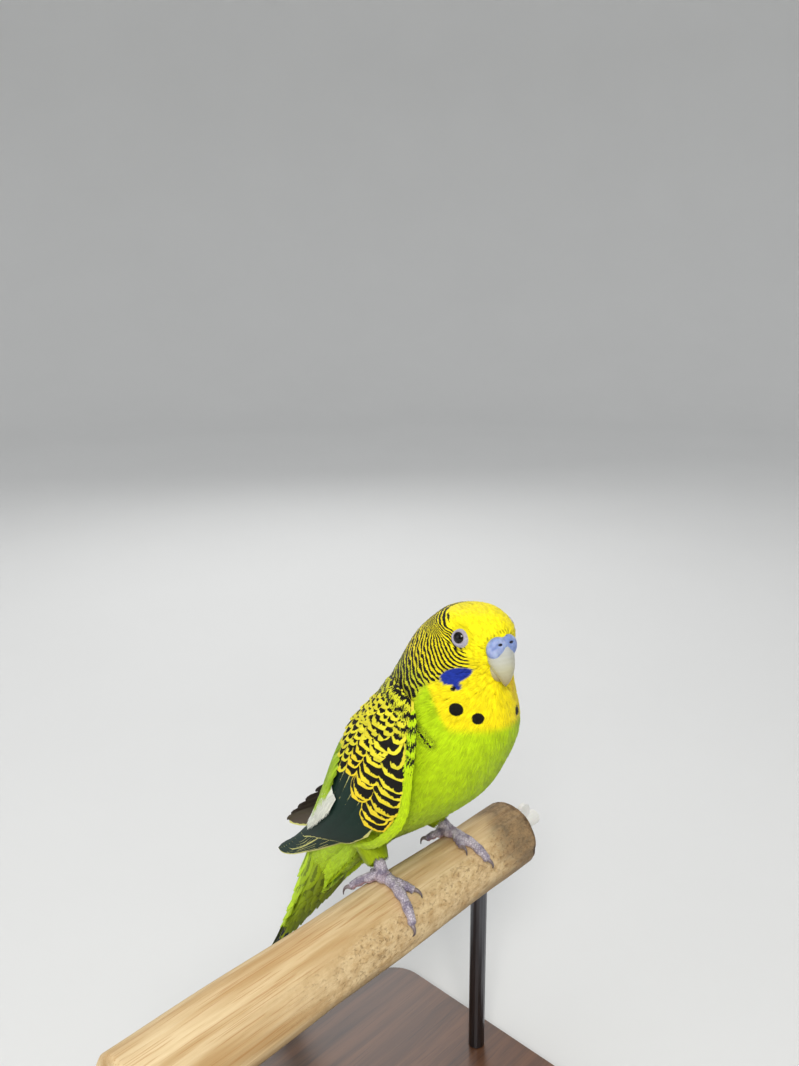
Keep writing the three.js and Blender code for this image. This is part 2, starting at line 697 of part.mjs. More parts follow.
// The perch lies level, with the bird off its middle.
const perchInBird = (body) => body.translate([-BIRD_X, -BIRD_Y, 0]);
const clearPerch = perchInBird(grownPerch);
for (const foot of FEET) {
  const clearFoot = footSolid(foot, GAP);
  const leg = cut(legSolid(foot), [grownBody, clearFoot, clearPerch]);
  bird.add(part(`leg_${foot.name}`, leg, COLOURS.leg));
  bird.add(part(`foot_${foot.name}`, cut(footSolid(foot, 0), [clearPerch]), COLOURS.leg));
  foot.toes.forEach((toe, digit) => {
    const claw = cut(clawSolid(foot, digit), [clearPerch, clearFoot]);
    bird.add(part(`claw_${foot.name}_${digit + 1}`, claw, COLOURS.claw, 0.4));
  });
}
group.add(bird);

const perch = new THREE.Group();
perch.position.set(0, 0, PERCH_TOP);
perch.add(part("perch", perchSolid(0), COLOURS.wood, 0.8));
perch.add(part("perch_washer", washer, COLOURS.washer, 0.5, 0.6));
perch.add(part("perch_screw", screwSolid(), COLOURS.screw, 0.5));
group.add(perch);

const stand = new THREE.Group();
stand.add(part("stand_base", standBase(), COLOURS.stand, 0.45));
stand.add(part("stand_rod_near", rodSolid(-ROD.from), COLOURS.rod, 0.35, 0.9));
stand.add(part("stand_rod_far", rodSolid(ROD.from), COLOURS.rod, 0.35, 0.9));
group.add(stand);

export default group;
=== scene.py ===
import math

import bmesh
import bpy
import numpy as np
from mathutils import Matrix, Vector
from mathutils.bvhtree import BVHTree


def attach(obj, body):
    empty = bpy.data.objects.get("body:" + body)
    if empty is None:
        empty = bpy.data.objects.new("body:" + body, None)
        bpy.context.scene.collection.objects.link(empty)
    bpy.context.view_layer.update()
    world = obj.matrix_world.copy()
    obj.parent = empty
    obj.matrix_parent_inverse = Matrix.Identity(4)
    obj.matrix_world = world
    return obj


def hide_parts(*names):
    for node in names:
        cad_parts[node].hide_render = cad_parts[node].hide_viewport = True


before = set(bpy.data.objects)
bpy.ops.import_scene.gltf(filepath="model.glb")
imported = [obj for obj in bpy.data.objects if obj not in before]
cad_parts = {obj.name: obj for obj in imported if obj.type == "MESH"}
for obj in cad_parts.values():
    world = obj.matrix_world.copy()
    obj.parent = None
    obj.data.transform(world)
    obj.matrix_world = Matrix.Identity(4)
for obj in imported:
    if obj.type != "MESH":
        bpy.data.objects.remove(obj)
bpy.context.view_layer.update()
rng = np.random.default_rng(11)

# Where the bird sits in the model's frame
PERCH_TOP = 88.0
BIRD_AT = np.array([28.0, 5.0, PERCH_TOP])
DEGREE = math.pi / 180

# The body as in the solids. Each row is half width, front y, z, back y, z, from crown to tail coverts.
BODY_ROWS = [
    [0, -22.8, 82.6, -22.8, 82.6],
    [6.4, -30.4, 81.4, -15.6, 80.8],
    [9.6, -35.0, 78.0, -10.0, 76.8],
    [11.2, -34.9, 73.2, -4.6, 71.8],
    [12.4, -33.8, 67.4, 0.2, 65.4],
    [13.4, -34.6, 61.2, 4.4, 58.8],
    [14.8, -35.4, 54.8, 8.2, 51.8],
    [17.0, -34.6, 47.6, 12.6, 44.6],
    [18.2, -31.2, 39.4, 17.8, 36.2],
    [18.6, -25.8, 29.8, 23.2, 27.4],
    [17.8, -17.0, 20.6, 28.4, 18.2],
    [15.8, -6.0, 11.4, 33.2, 9.0],
    [12.8, 6.0, 2.0, 37.6, -0.2],
    [9.6, 17.0, -8.0, 41.0, -9.8],
    [7.2, 25.8, -16.8, 43.8, -18.8],
    [5.8, 33.0, -26.2, 46.6, -28.0],
    [4.6, 39.8, -35.0, 49.4, -36.6],
    [0, 48.5, -44.5, 48.5, -44.5],
]
# The head turns by this angle round this upright axis. The neck takes up the turn between these heights.
HEAD_TURN = 12 * DEGREE
NECK_AXIS = np.array([0, -17.0, 0])
TURN_FROM, TURN_TO = 48.0, 66.0
THIGH = {"centre": [10, 7.5, 10], "radii": [5.4, 7.5, 6.6]}
# How far the skin lies inside the solids, on the head and on the body
HEAD_COAT = 0.8
BODY_COAT = 1.5

# Places on the head, as if it looked straight ahead
EYE_AT = [7.2, -27.5, 76.4]
CERE = {"centre": [1.7, -34.2, 74.3], "radii": [3.0, 2.2, 3.2]}
BILL_AT = [0.0, -36.0, 71.0]
BILL_MIDDLE = [0, -34.6, 71.5]

# The folded right wing, between its lower and its upper edge, from shoulder to tip
LOWER_EDGE = [
    [-14.0, -12.4, 58.0],
    [-19.0, -14.4, 46.0],
    [-20.4, -12.6, 34.0],
    [-19.4, -3.4, 21.4],
    [-16.4, 11.4, 8.6],
    [-12.0, 28.6, -4.2],
    [-7.6, 44.6, -14.6],
    [-4.6, 57.4, -22.0],
]
UPPER_EDGE = [
    [-10.5, -3.2, 60.0],
    [-8.2, 6.8, 48.0],
    [-9.0, 15.8, 36.8],
    [-11.4, 20.4, 25.5],
    [-12.4, 25.0, 13.2],
    [-9.6, 33.6, 0.4],
    [-6.6, 45.4, -11.8],
    [-4.4, 57.4, -21.2],
]
# How far its middle stands out of the flat between its edges, which are taken to be at least twice the second
# number apart
WING_BULGE = [1.0, 4.2, 5.9, 5.2, 3.6, 2.0, 0.9, 0.3]
NARROWEST = 4.0
# The left wing mirrors it, held off the back by a turn about its shoulder.
SHOULDER = np.array([15.0, -12.0, 55.0])
LEFT_WING_LIFT = 3.5 * DEGREE
BODY_MIDDLE = np.array([0.0, 8.0, 30.0])

# The tail's root, its slope below level and its length
TAIL = {"start": [0, 33.3, -8], "drop": 61 * DEGREE, "length": 85.3}

# The perch, and the feet on it: each one's place along it, its angle in degrees from the perch's top, and
# for each toe the angles of its start and end and how far it splays along the perch
PERCH = {"length": 140.0, "radius": 10.7, "taper": 0.3}
FEET = [
    {"name": "right", "side": -1, "x": -15.2, "angle": -6,
     "toes": [(-8, -36, -3.0), (10, 40, -3.6), (12, 74, 2.0), (-8, -44, 5.0)]},
    {"name": "left", "side": 1, "x": 14.2, "angle": -10,
     "toes": [(-8, -36, -3.0), (10, 32, -2.4), (12, 66, 2.8), (-8, -44, 4.0)]},
]
TOE_RADIUS = [1.15, 1.2, 1.3, 1.25]
# How far the toes' middle lines lie off the wood, over their radii
TOE_GAP = 0.3


# Maths

def smooth(low, high, x):
    """0 below low, 1 above high, with a soft step between."""
    t = np.clip((np.asarray(x, float) - low) / (high - low), 0, 1)
    return t * t * (3 - 2 * t)


def unit(v):
    return v / np.maximum(np.linalg.norm(v, axis=-1, keepdims=True), 1e-9)


def dot(a, b):
    return (a * b).sum(-1, keepdims=True)


def spin(points, axis, angle, pivot):
    """Points turned about an axis through a pivot. The angle may differ from point to point."""
    p = np.asarray(points, float) - pivot
    k = unit(np.asarray(axis, float))
    c = np.cos(angle)[..., None] if np.ndim(angle) else np.cos(angle)
    s = np.sin(angle)[..., None] if np.ndim(angle) else np.sin(angle)
    return p * c + np.cross(k, p) * s + k * dot(p, k) * (1 - c) + pivot


def along(rows, t):
    """A smooth curve through rows, at shares t of it, eased by the distances between the rows."""
    rows = np.asarray(rows, float)
    t = np.asarray(t, float)
    last = len(rows) - 1
    place = np.clip(t, 0, 1) * last
    i = np.minimum(place.astype(int), last - 1)
    w = (place - i)[..., None]
    padded = np.vstack([2 * rows[0] - rows[1], rows, 2 * rows[-1] - rows[-2]])
    a, b, c, d = (padded[i + k] for k in range(4))
    gap = [np.maximum(np.linalg.norm(q - p, axis=-1, keepdims=True), 1e-6) ** 0.5
           for p, q in ((a, b), (b, c), (c, d))]
    g0, g1, g2 = gap
    m1 = ((b - a) / g0 - (c - a) / (g0 + g1) + (c - b) / g1) * g1
    m2 = ((c - b) / g1 - (d - b) / (g1 + g2) + (d - c) / g2) * g1
    cubic = (2 * b - 2 * c + m1 + m2) * w ** 3 + (-3 * b + 3 * c - 2 * m1 - m2) * w ** 2
    return cubic + m1 * w + b


def circle(count):
    """Angles all round, the last one a step before the first."""
    return np.linspace(0, 2 * math.pi, count, endpoint=False)


def linear(red, green, blue):
    """A colour as seen, from 0 to 255, as the numbers that light works in."""
    seen = np.array([red, green, blue]) / 255
    return np.where(seen < 0.04045, seen / 12.92, ((seen + 0.055) / 1.055) ** 2.4)


# Colours

YELLOW = linear(253, 238, 12)
BIB = linear(252, 232, 8)
BILL_SHADOW_AMBER = linear(238, 178, 18)
LIME = linear(186, 218, 8)
# OLIVE is darker green for painted shade, on the lower belly and under the tail.
OLIVE = linear(150, 170, 12)
RUMP = linear(190, 224, 40)
NAPE = linear(214, 214, 42)
CHEEK = linear(238, 222, 26)
MANTLE = linear(204, 208, 58)
VIOLET = linear(28, 52, 158)
BAR = linear(16, 14, 9)
CREAM = linear(238, 240, 228)
FRINGE = linear(228, 218, 52)
FRINGE_LOW = linear(240, 212, 44)
QUILL_DARK = linear(14, 24, 20)
QUILL_TEAL = linear(14, 46, 36)
QUILL_BROWN = linear(92, 80, 72)
PALE_EDGE = linear(214, 212, 128)


# The body's surface

def turned(points, angle):
    """Points turned round the neck's upright axis."""
    return spin(points, [0, 0, 1], angle, NECK_AXIS)


def head_angle(z):
    """How far the bird is turned at a height."""
    return HEAD_TURN * smooth(TURN_FROM, TURN_TO, z)


def on_head(points, side=1):
    """Places on the head, given as if it looked straight ahead, or their mirror images."""
    return turned(np.array(points) * [side, 1, 1], -HEAD_TURN)


def front_and_back(rows, t):
    """Two curves through rows of half width, front y, z, back y, z: half width, y, z of front and of back."""
    front = along([[w, y, z] for w, y, z, _, _ in rows], t)
    back = along([[w, y, z] for w, _, _, y, z in rows], t)
    return front, back


def body_point(t, phi):
    """The body's surface. t runs from crown to tail, and phi from the breast round the left side."""
    front, back = front_and_back(BODY_ROWS, t)
    half = np.maximum(front[..., 0], 0.01)
    zero = 0 * half[..., None]
    centre = np.concatenate([zero, (front[..., 1:] + back[..., 1:]) / 2], -1)
    through = np.concatenate([zero, (front[..., 1:] - back[..., 1:]) / 2], -1)
    across = np.stack([half, 0 * half, 0 * half], -1)
    offset = across * np.sin(phi)[..., None] + through * np.cos(phi)[..., None]
    return turned(centre + offset, -head_angle(centre[..., 2]))


def coat_depth(t):
    """How far the skin lies inside the solids at a share of the way from crown to tail."""
    return HEAD_COAT + (BODY_COAT - HEAD_COAT) * smooth(0.2, 0.45, t)


def middle_line(points):
    """The middle between the breast and the back, for each ring of a grid."""
    return (points[:, :1] + points[:, SKIN_SIDES // 2: SKIN_SIDES // 2 + 1]) / 2


def with_thighs(points, middle):
    """Pushes points out, away from the body's middle line, to where the thighs bulge."""
    out = unit(points - middle)
    for side in (-1, 1):
        centre = np.array(THIGH["centre"]) * [side, 1, 1]
        radii = np.array(THIGH["radii"]) - BODY_COAT
        p = (points - centre) / radii
        d = out / radii
        a, b, c = (d * d).sum(-1), (p * d).sum(-1), (p * p).sum(-1) - 1
        root = b * b - a * c
        reach = np.where(root > 0, (-b + np.sqrt(np.maximum(root, 0))) / a, 0)
        points = points + out * np.maximum(reach, 0)[..., None]
    return points


SKIN_RINGS, SKIN_SIDES = 300, 260


def skin_grid():
    """The skin as a grid of points, with its unwrap, from the crown to the tail."""
    t = np.linspace(0.0004, 0.9996, SKIN_RINGS)
    phi = np.linspace(-math.pi, math.pi, SKIN_SIDES + 1)
    tt, pp = np.meshgrid(t, phi, indexing="ij")
    points = body_point(tt, pp)
    ahead = body_point(tt + 0.002, pp) - body_point(tt - 0.002, pp)
    round_ = body_point(tt, pp + 0.01) - body_point(tt, pp - 0.01)
    normal = unit(np.cross(round_, ahead))
    middle = middle_line(points)
    flip = np.sign(dot(normal, points - middle))
    points = with_thighs(points - normal * flip * coat_depth(tt)[..., None], middle)
    unwrap = np.stack([(pp + math.pi) / (2 * math.pi), tt], -1)
    return points, unwrap


# Markings

# The duty sets how much of the plumage is dark bars: half of it at 0, and none at this.
NO_BARS = -1.4
# The middle of the bars round the face, and the line where the yellow face ends, all as y and z
CREST = {"y": -31.0, "z": 77.5}
FACE_EDGE = np.array([
    [-11, 48], [-13.4, 53.5], [-13.4, 55.6], [-15.4, 57.1], [-18.5, 61.5], [-24.5, 65], [-28.5, 68],
    [-31, 69], [-31.3, 70.7], [-30.1, 74.4], [-28.5, 76], [-26, 78], [-22.9, 80.2], [-19.2, 81.6],
    [-19, 82.6],
])
# The throat's spots: centre and radius
SPOTS = [
    ([-12.0, -25.6, 63.7], 0.8),
    ([-11.9, -26.6, 58.1], 1.9),
    ([-8.8, -31.2, 56.1], 1.65),
    ([3.1, -34.6, 55.4], 1.5),
    ([9.8, -29.6, 57.4], 1.6),
    ([12.2, -23.6, 62.6], 0.9),
]
# The spots face away from this place inside the throat.
SPOT_AXIS = np.array([0.0, -14.0, 56.0])
# The line of soft bars on the breast's right side
SIDE_STRIP = [[-14.2, -10.3, 53.5], [-15.4, -16.0, 50.6], [-15.6, -20.9, 48.0]]
# The ends of the violet patch on the cheek, as y and z
PATCH_BACK, PATCH_FRONT = np.array([-24.0, 64.9]), np.array([-30.9, 69.1])


def along_distance(points, rows):
    """The distance from points to a line through rows."""
    near_line = np.full(points.shape[:-1], np.inf)
    for a, b in zip(np.array(rows[:-1]), np.array(rows[1:])):
        share = np.clip(((points - a) @ (b - a)) / ((b - a) @ (b - a)), 0, 1)
        away = points - a - share[..., None] * (b - a)
        near_line = np.minimum(near_line, np.linalg.norm(away, axis=-1))
    return near_line


def cheek_patch(head):
    """How far a point is inside the violet patch on the cheek, about -1 outside and 1 inside."""
    axis = PATCH_FRONT - PATCH_BACK
    length = np.linalg.norm(axis)
    axis = axis / length
    side = np.array([-axis[1], axis[0]])
    rel = head[..., 1:] - PATCH_BACK
    a = rel @ axis / length
    b = rel @ side
    ridge = 1.9 * np.sqrt(np.clip(np.sin(math.pi * np.clip(a, 0, 1) ** 0.8), 0, 1))
    leaf = np.where((a > 0) & (a < 1), ridge - np.abs(b - 0.2), -2.0)
    lobe = 1.15 - np.hypot(head[..., 1] + 28.0, head[..., 2] - 64.2)
    return np.maximum(leaf, lobe)


def markings(points):
    """The plumage's two colours, the place across its bars, how far they show, and the depth in a spot."""
    # The head's marks are set out as if it looked straight ahead.
    head = turned(points, head_angle(points[..., 2]))
    x, y, z = head[..., 0], head[..., 1], head[..., 2]
    behind = y - np.interp(z, FACE_EDGE[:, 1], FACE_EDGE[:, 0])

    def over(colour, other, share):
        return colour + (np.asarray(other) - colour) * share[..., None]

    # Green body, yellow head and bib
    ground = np.broadcast_to(LIME, points.shape)
    # Darker olive over the lower belly: painted shade, with a little of the belly's own duller green.
    ground = over(ground, OLIVE, smooth(26, 4, points[..., 2]) * smooth(26, 8, points[..., 1]))
    ground = over(ground, RUMP, smooth(8, 16, points[..., 1]) * smooth(-18, -4, points[..., 2]))
    bib_edge = 52.6 + 12 * smooth(-25.5, -18, y)
    ground = over(ground, BIB, smooth(-1.6, 1.6, z - bib_edge))
    ground = over(ground, YELLOW, smooth(68, 74, z))
    # The folds mask below the bill, on its left side, is painted shadow cast by the bill, in amber.
    folds = smooth(2.6, 0.4, np.hypot(x - 5.0, 0.35 * (z - 64)) + 0.2 * np.abs(y + 34))
    ground = over(ground, BILL_SHADOW_AMBER, 0.55 * folds)
    nape = smooth(-1.5, 2.5, behind) * smooth(44, 50, z)
    ground = over(ground, NAPE, nape * smooth(72, 60, z))
    ground = over(ground, CHEEK, nape * smooth(60, 72, z) * 0.6)
    back = smooth(-8, 2, y) * smooth(30, 38, z) * smooth(62, 54, z)
    ground = over(ground, MANTLE, back)

    # Dark bristles over the cere
    brow = smooth(0.7, 0.2, np.abs(z - 78.4 + 0.1 * x ** 2)) * (y < -31) * (np.abs(x) < 4)
    ground = over(ground, BAR, 0.55 * brow * smooth(0.1, 0.6, np.sin(7 * x + 2 * z)))

    # Bars round the face, wider over the crown and down the neck
    r = np.hypot(y - CREST["y"], z - CREST["z"])
    phase = np.log(0.7 + 0.05 * r) / 0.05
    round_ = np.arctan2(z - CREST["z"], y - CREST["y"])
    wander = np.sin(0.55 * y + 0.8 * z + 1.1 * np.sin(0.5 * x))
    scallops = np.sin(30 * round_ + math.pi * phase) * smooth(8, 18, r)
    phase = phase + 0.16 * wander + 0.2 * scallops
    crown = (0.47 * (y + 19.2) - 0.88 * (z - 81.6)) / 1.3 - 4.6
    top = smooth(74.5, 78.5, z) * smooth(-5, -12, y)
    phase = phase * (1 - top) + crown * top
    wanted = 0.1 + 0.3 * top + 0.3 * smooth(16, 26, r) - 0.12 * smooth(12, 6, r)
    duty = NO_BARS + (wanted - NO_BARS) * smooth(-0.2, 1.6, behind)
    duty = duty * smooth(30, 40, z) + NO_BARS * smooth(40, 30, z)

    # Throat spots and cheek patches
    spot = np.full(points.shape[:-1], -2.0)
    for centre, radius in SPOTS:
        rel = points - np.array(centre)
        out = unit(np.array(centre) - SPOT_AXIS)
        across = np.linalg.norm(rel - dot(rel, out) * out, axis=-1) + 9 * (dot(rel, out)[..., 0] < -6)
        spot = np.maximum(spot, radius - across)
    patch = smooth(-0.15, 0.2, cheek_patch(head)) * smooth(2.0, 4.0, np.abs(x))
    ground = over(ground, VIOLET, patch)
    duty = duty * (1 - patch) + NO_BARS * patch

    # Soft bars on the breast's side, in front of the wing
    strip = smooth(2.6, 1.2, along_distance(np.abs(points) * [-1, 0, 1] + points * [0, 1, 0], SIDE_STRIP))
    phase = phase * (1 - strip) + strip * (z * 0.5 - y * 0.42)
    duty = np.maximum(duty, NO_BARS + 1.25 * strip)
    return {"ground": ground, "dark": BAR, "phase": phase, "duty": duty, "spot": spot}


# Materials

class Surface:
    """A material in the making. Its methods add nodes and give their outputs."""

    def __init__(self, name, **uniform):
        self.material = bpy.data.materials.new(name)
        self.material.use_nodes = True
        self.tree = self.material.node_tree
        self.shader = self.tree.nodes["Principled BSDF"]
        for key, value in uniform.items():
            self.shader.inputs[key.replace("_", " ")].default_value = value

    def node(self, kind, inputs=None, **settings):
        """A shader node. An input is a socket to link or a value to set."""
        made = self.tree.nodes.new(kind)
        for key, value in settings.items():
            setattr(made, key, value)
        for key, value in (inputs or {}).items():
            if isinstance(value, bpy.types.NodeSocket):
                self.tree.links.new(value, made.inputs[key])
            else:
                made.inputs[key].default_value = value
        return made

    def math_node(self, operation, a, b=0.0):
        return self.node("ShaderNodeMath", {0: a, 1: b}, operation=operation).outputs[0]

    def times(self, a, b):
        return self.math_node("MULTIPLY", a, b)

    def plus(self, a, b, share):
        """a with a share of b added."""
        return self.math_node("ADD", a, self.times(b, share))

    def colour_mix(self, share, a, b, blend="MIX"):
        """The colour a at a share of 0 and b at 1. Each is a socket or a colour."""
        a, b = (end if isinstance(end, bpy.types.NodeSocket) else (*end, 1) for end in (a, b))
        inputs = {0: share, 6: a, 7: b}
        return self.node("ShaderNodeMix", inputs, data_type="RGBA", blend_type=blend).outputs[2]

    def step(self, value, low, high, to_low=0.0, to_high=1.0):
        """A soft step between two values."""
        inputs = {"Value": value, "From Min": low, "From Max": high, "To Min": to_low, "To Max": to_high}
        return self.node("ShaderNodeMapRange", inputs, interpolation_type="SMOOTHSTEP").outputs[0]

    def ramp(self, value, stops):
        """A colour ramp over places from 0 to 1."""
        made = self.node("ShaderNodeValToRGB", {0: value})
        while len(made.color_ramp.elements) < len(stops):
            made.color_ramp.elements.new(0.5)
        for element, (place, colour) in zip(made.color_ramp.elements, stops):
            element.position = place
            element.color = (*colour, 1)
        return made.outputs[0]

    def noise(self, place, scale, detail=3.0, roughness=0.5, distortion=0.0):
        """Noise from 0 to 1. The scale counts its cells in a metre."""
        inputs = {"Vector": place, "Scale": scale, "Detail": detail, "Roughness": roughness,
                  "Distortion": distortion}
        return self.node("ShaderNodeTexNoise", inputs).outputs[0]

    def streaks(self, place, scale, *looks):
        """Noise with a scale for each axis, so it is stretched along one or two of them."""
        scaled = self.node("ShaderNodeMapping", {"Vector": place, "Scale": scale}).outputs[0]
        return self.noise(scaled, 1.0, *looks)

    def attribute(self, name, kind="Fac"):
        return self.node("ShaderNodeAttribute", attribute_name=name).outputs[kind]

    def coordinates(self):
        return self.node("ShaderNodeTexCoord").outputs["Object"]

    def bump(self, height, distance, strength=1.0):
        inputs = {"Height": height, "Distance": distance, "Strength": strength}
        return self.node("ShaderNodeBump", inputs).outputs[0]

    def wire(self, **sockets):
        """Links sockets to the shader's inputs of the same names, and gives the finished material."""
        for key, socket in sockets.items():
            self.tree.links.new(socket, self.shader.inputs[key.replace("_", " ")])
        return self.material


def plumage(name, **uniform):
    """Feathers: bars and margins from the markings, barbs as fine streaks along each feather."""
    look = Surface(name, **uniform)
    strand = look.attribute("strand", "Vector")
    place = look.coordinates()
    barbs = look.streaks(strand, (6.0, 0.5, 3.0), 2.0)
    ragged = look.math_node("SUBTRACT", look.noise(place, 900.0, 2.0), 0.5)
    phase = look.plus(look.attribute("phase"), ragged, 0.3)
    phase = look.plus(phase, look.math_node("SUBTRACT", barbs, 0.5), 0.14)
    wave = look.math_node("SINE", look.times(phase, 2 * math.pi))
    dark = look.step(look.math_node("ADD", wave, look.attribute("duty")), -0.12, 0.16)
    dark = look.math_node("MAXIMUM", dark, look.step(look.attribute("spot"), 0.0, 0.25))
    colour = look.colour_mix(dark, look.attribute("ground", "Color"), look.attribute("dark", "Color"))
    shade = look.step(look.plus(look.attribute("grain"), barbs, 0.5), 0.0, 1.4, 0.78, 1.2)
    grey = look.node("ShaderNodeCombineColor", {0: shade, 1: shade, 2: shade}).outputs[0]
    colour = look.colour_mix(1.0, colour, grey, "MULTIPLY")
    return look.wire(Base_Color=colour, Normal=look.bump(barbs, 0.0001, 0.4))


# Meshes

def placed(name, data):
    """A new object in the scene."""
    made = bpy.data.objects.new(name, data)
    bpy.context.scene.collection.objects.link(made)
    return made


# The point attributes that the materials read: their kinds, the names of their values and their shapes
COLOUR = ("FLOAT_COLOR", "color", (4,))
VECTOR = ("FLOAT_VECTOR", "vector", (3,))
NUMBER = ("FLOAT", "value", ())
MARKS = {
    "ground": COLOUR, "dark": COLOUR, "strand": VECTOR, "phase": NUMBER, "duty": NUMBER, "spot": NUMBER,
    "grain": NUMBER, "mark": NUMBER, "shade_and_weathering": NUMBER,
}


def new_piece(name, made, worn, replaces=(), at=BIRD_AT):
    """A piece on the model's one body. made has its points, faces and marks, maybe an unwrap and normals."""
    points = made["points"]
    mesh = bpy.data.meshes.new(name)
    faces = np.asarray(made["faces"], np.int32)
    count, corners = faces.shape
    mesh.vertices.add(len(points))
    mesh.vertices.foreach_set("co", ((points + at) / 1000).astype(np.float32).ravel())
    mesh.loops.add(count * corners)
    mesh.loops.foreach_set("vertex_index", faces.ravel())
    mesh.polygons.add(count)
    mesh.polygons.foreach_set("loop_start", np.arange(0, count * corners, corners, dtype=np.int32))
    mesh.update(calc_edges=True)
    for key in [key for key in MARKS if key in made]:
        kind, field, shape = MARKS[key]
        values = np.asarray(made[key], np.float32)
        if kind == "FLOAT_COLOR":
            values = np.concatenate([values, np.ones_like(values[..., :1])], -1)
        values = np.broadcast_to(values, (len(points), *shape))
        mesh.attributes.new(key, kind, "POINT").data.foreach_set(field, values.ravel())
    if "uv" in made:
        layer = mesh.uv_layers.new(name="OFBake")
        layer.data.foreach_set("uv", np.asarray(made["uv"], np.float32)[faces.ravel()].ravel())
    mesh.shade_smooth()
    if "normals" in made:
        mesh.normals_split_custom_set_from_vertices(unit(made["normals"]).tolist())
    piece = placed(name, mesh)
    mesh.materials.append(worn)
    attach(piece, "root")
    if replaces:
        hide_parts(*replaces)
    return piece


def gather(parts):
    """The points, faces and marks of several parts, as one."""
    starts = np.cumsum([0] + [len(part["points"]) for part in parts])
    whole = {key: np.concatenate([part[key] for part in parts]) for key in parts[0]}
    whole["faces"] = np.concatenate([part["faces"] + start for part, start in zip(parts, starts)])
    return whole


def grid_faces(rows, columns, closed=False):
    """Quads of a grid of rows by columns points. In a closed grid each row runs round."""
    i, j = np.meshgrid(np.arange(rows - 1), np.arange(columns if closed else columns - 1), indexing="ij")
    a, b = i * columns + j, i * columns + (j + 1) % columns
    return np.stack([a, b, b + columns, a + columns], -1).reshape(-1, 4)


# Skin

SKIN_MATERIAL = plumage("skin", Roughness=0.75, Specular_IOR_Level=0.2)
FEATHER_MATERIAL = plumage("feathers", Roughness=0.7, Specular_IOR_Level=0.2, Sheen_Weight=0.08)
QUILL_MATERIAL = plumage("quills", Roughness=0.6, Specular_IOR_Level=0.2)

# How bright the skin is beside the tufts over it, darker as painted shade between them, and its place between
# their darkest and their palest
SKIN_PAINTED_SHADE = 0.8
SKIN_GRAIN = 0.4
skin_points, skin_unwrap = skin_grid()
flat_skin = skin_points.reshape(-1, 3)
skin_faces = grid_faces(SKIN_RINGS, SKIN_SIDES + 1)
skin = {"points": flat_skin, "faces": skin_faces, "uv": skin_unwrap.reshape(-1, 2), "strand": flat_skin,
        "grain": SKIN_GRAIN, **markings(flat_skin)}
# The skin between the tufts is darkened: painted shade.
skin["ground"] = skin["ground"] * SKIN_PAINTED_SHADE
new_piece("skin", skin, SKIN_MATERIAL, replaces=("head", "neck", "torso"))
skin_tree = BVHTree.FromPolygons(flat_skin.tolist(), skin_faces.tolist())


def grid_normals(points):
    """Smooth normals of a tube, whose grid of points runs once round it in each row."""
    down = np.gradient(points, axis=0)
    round_ = np.gradient(points, axis=1)
    round_[:, 0] = round_[:, -1] = (points[:, 1] - points[:, -2]) / 2
    return unit(np.cross(round_, down))


skin_normals = grid_normals(skin_points)
skin_normals = skin_normals * np.sign(dot(skin_normals, skin_points - middle_line(skin_points)))
face_smooth = unit(skin_normals.reshape(-1, 3)[skin_faces].mean(1))


def on_skin(points):
    """The skin's nearest points and its normals there."""
    places = np.empty_like(points)
    index = np.empty(len(points), int)
    for i, p in enumerate(points):
        place, _, face, _ = skin_tree.find_nearest(p)
        places[i] = place
        index[i] = face
    return places, face_smooth[index]


BILL = on_head(BILL_AT)


def lie(points, normals):
    """The way the feathers lie: away from the bill, along the skin."""
    away = unit(points - BILL)
    return unit(away - normals * dot(away, normals))


# Small feathers

# The tufts' first and last rings, as shares of the way from crown to tail
FIRST_RING, LAST_RING = 0.003, 0.97


def coat_spacing(t):
    """How far apart the tufts' roots are: closer on the head than on the body."""
    return 0.62 + 0.43 * float(smooth(0.16, 0.4, t))


def root_places():
    """Places for tufts over the whole skin, ring by ring, as t and phi of the body's surface."""
    found = []
    t = FIRST_RING
    turns = np.linspace(-math.pi, math.pi, 73)
    fine = turns[:-1]
    while t < LAST_RING:
        gap = coat_spacing(t)
        ring = body_point(np.full(len(fine), t), fine)
        ahead = body_point(np.full(len(fine), t + 0.002), fine)
        speed = np.linalg.norm(ahead - ring, axis=1) / 0.002
        round_ = np.linalg.norm(np.roll(ring, -1, 0) - ring, axis=1)
        count = max(3, int(round_.sum() / gap))
        share = (np.arange(count) + rng.random() + rng.uniform(-0.3, 0.3, count)) / count % 1
        total = np.concatenate([[0], np.cumsum(round_)]) / round_.sum()
        phi = np.interp(share, total, turns)
        local = np.interp(phi, fine, speed)
        keep = rng.random(count) < local / speed.max()
        dt = gap / speed.max()
        found.append(np.stack([t + dt * rng.uniform(-0.4, 0.4, count), phi], 1)[keep])
        t += dt
    return np.concatenate(found)


def near(points, centre, distance):
    return np.linalg.norm(points - centre, axis=-1) < distance


EYES = {side: on_head(EYE_AT, side) for side in (-1, 1)}
# No tuft reaches this near to an eye, or has its root this near to half of the cere or to the bill.
EYE_BARE = 3.05
CERE_BARE = 2.9
BILL_BARE = 3.6
# Where each barb has its rows of points, as shares of its length
TUFT_SHARES = np.array([0.0, 0.35, 0.7, 1.0])
TUFT_ROWS = len(TUFT_SHARES)
# How much of the unwrap each tuft or feather takes, and how far apart their streaks may be in the noise
UV_PATCH = 0.003
STREAK_JUMP = 40


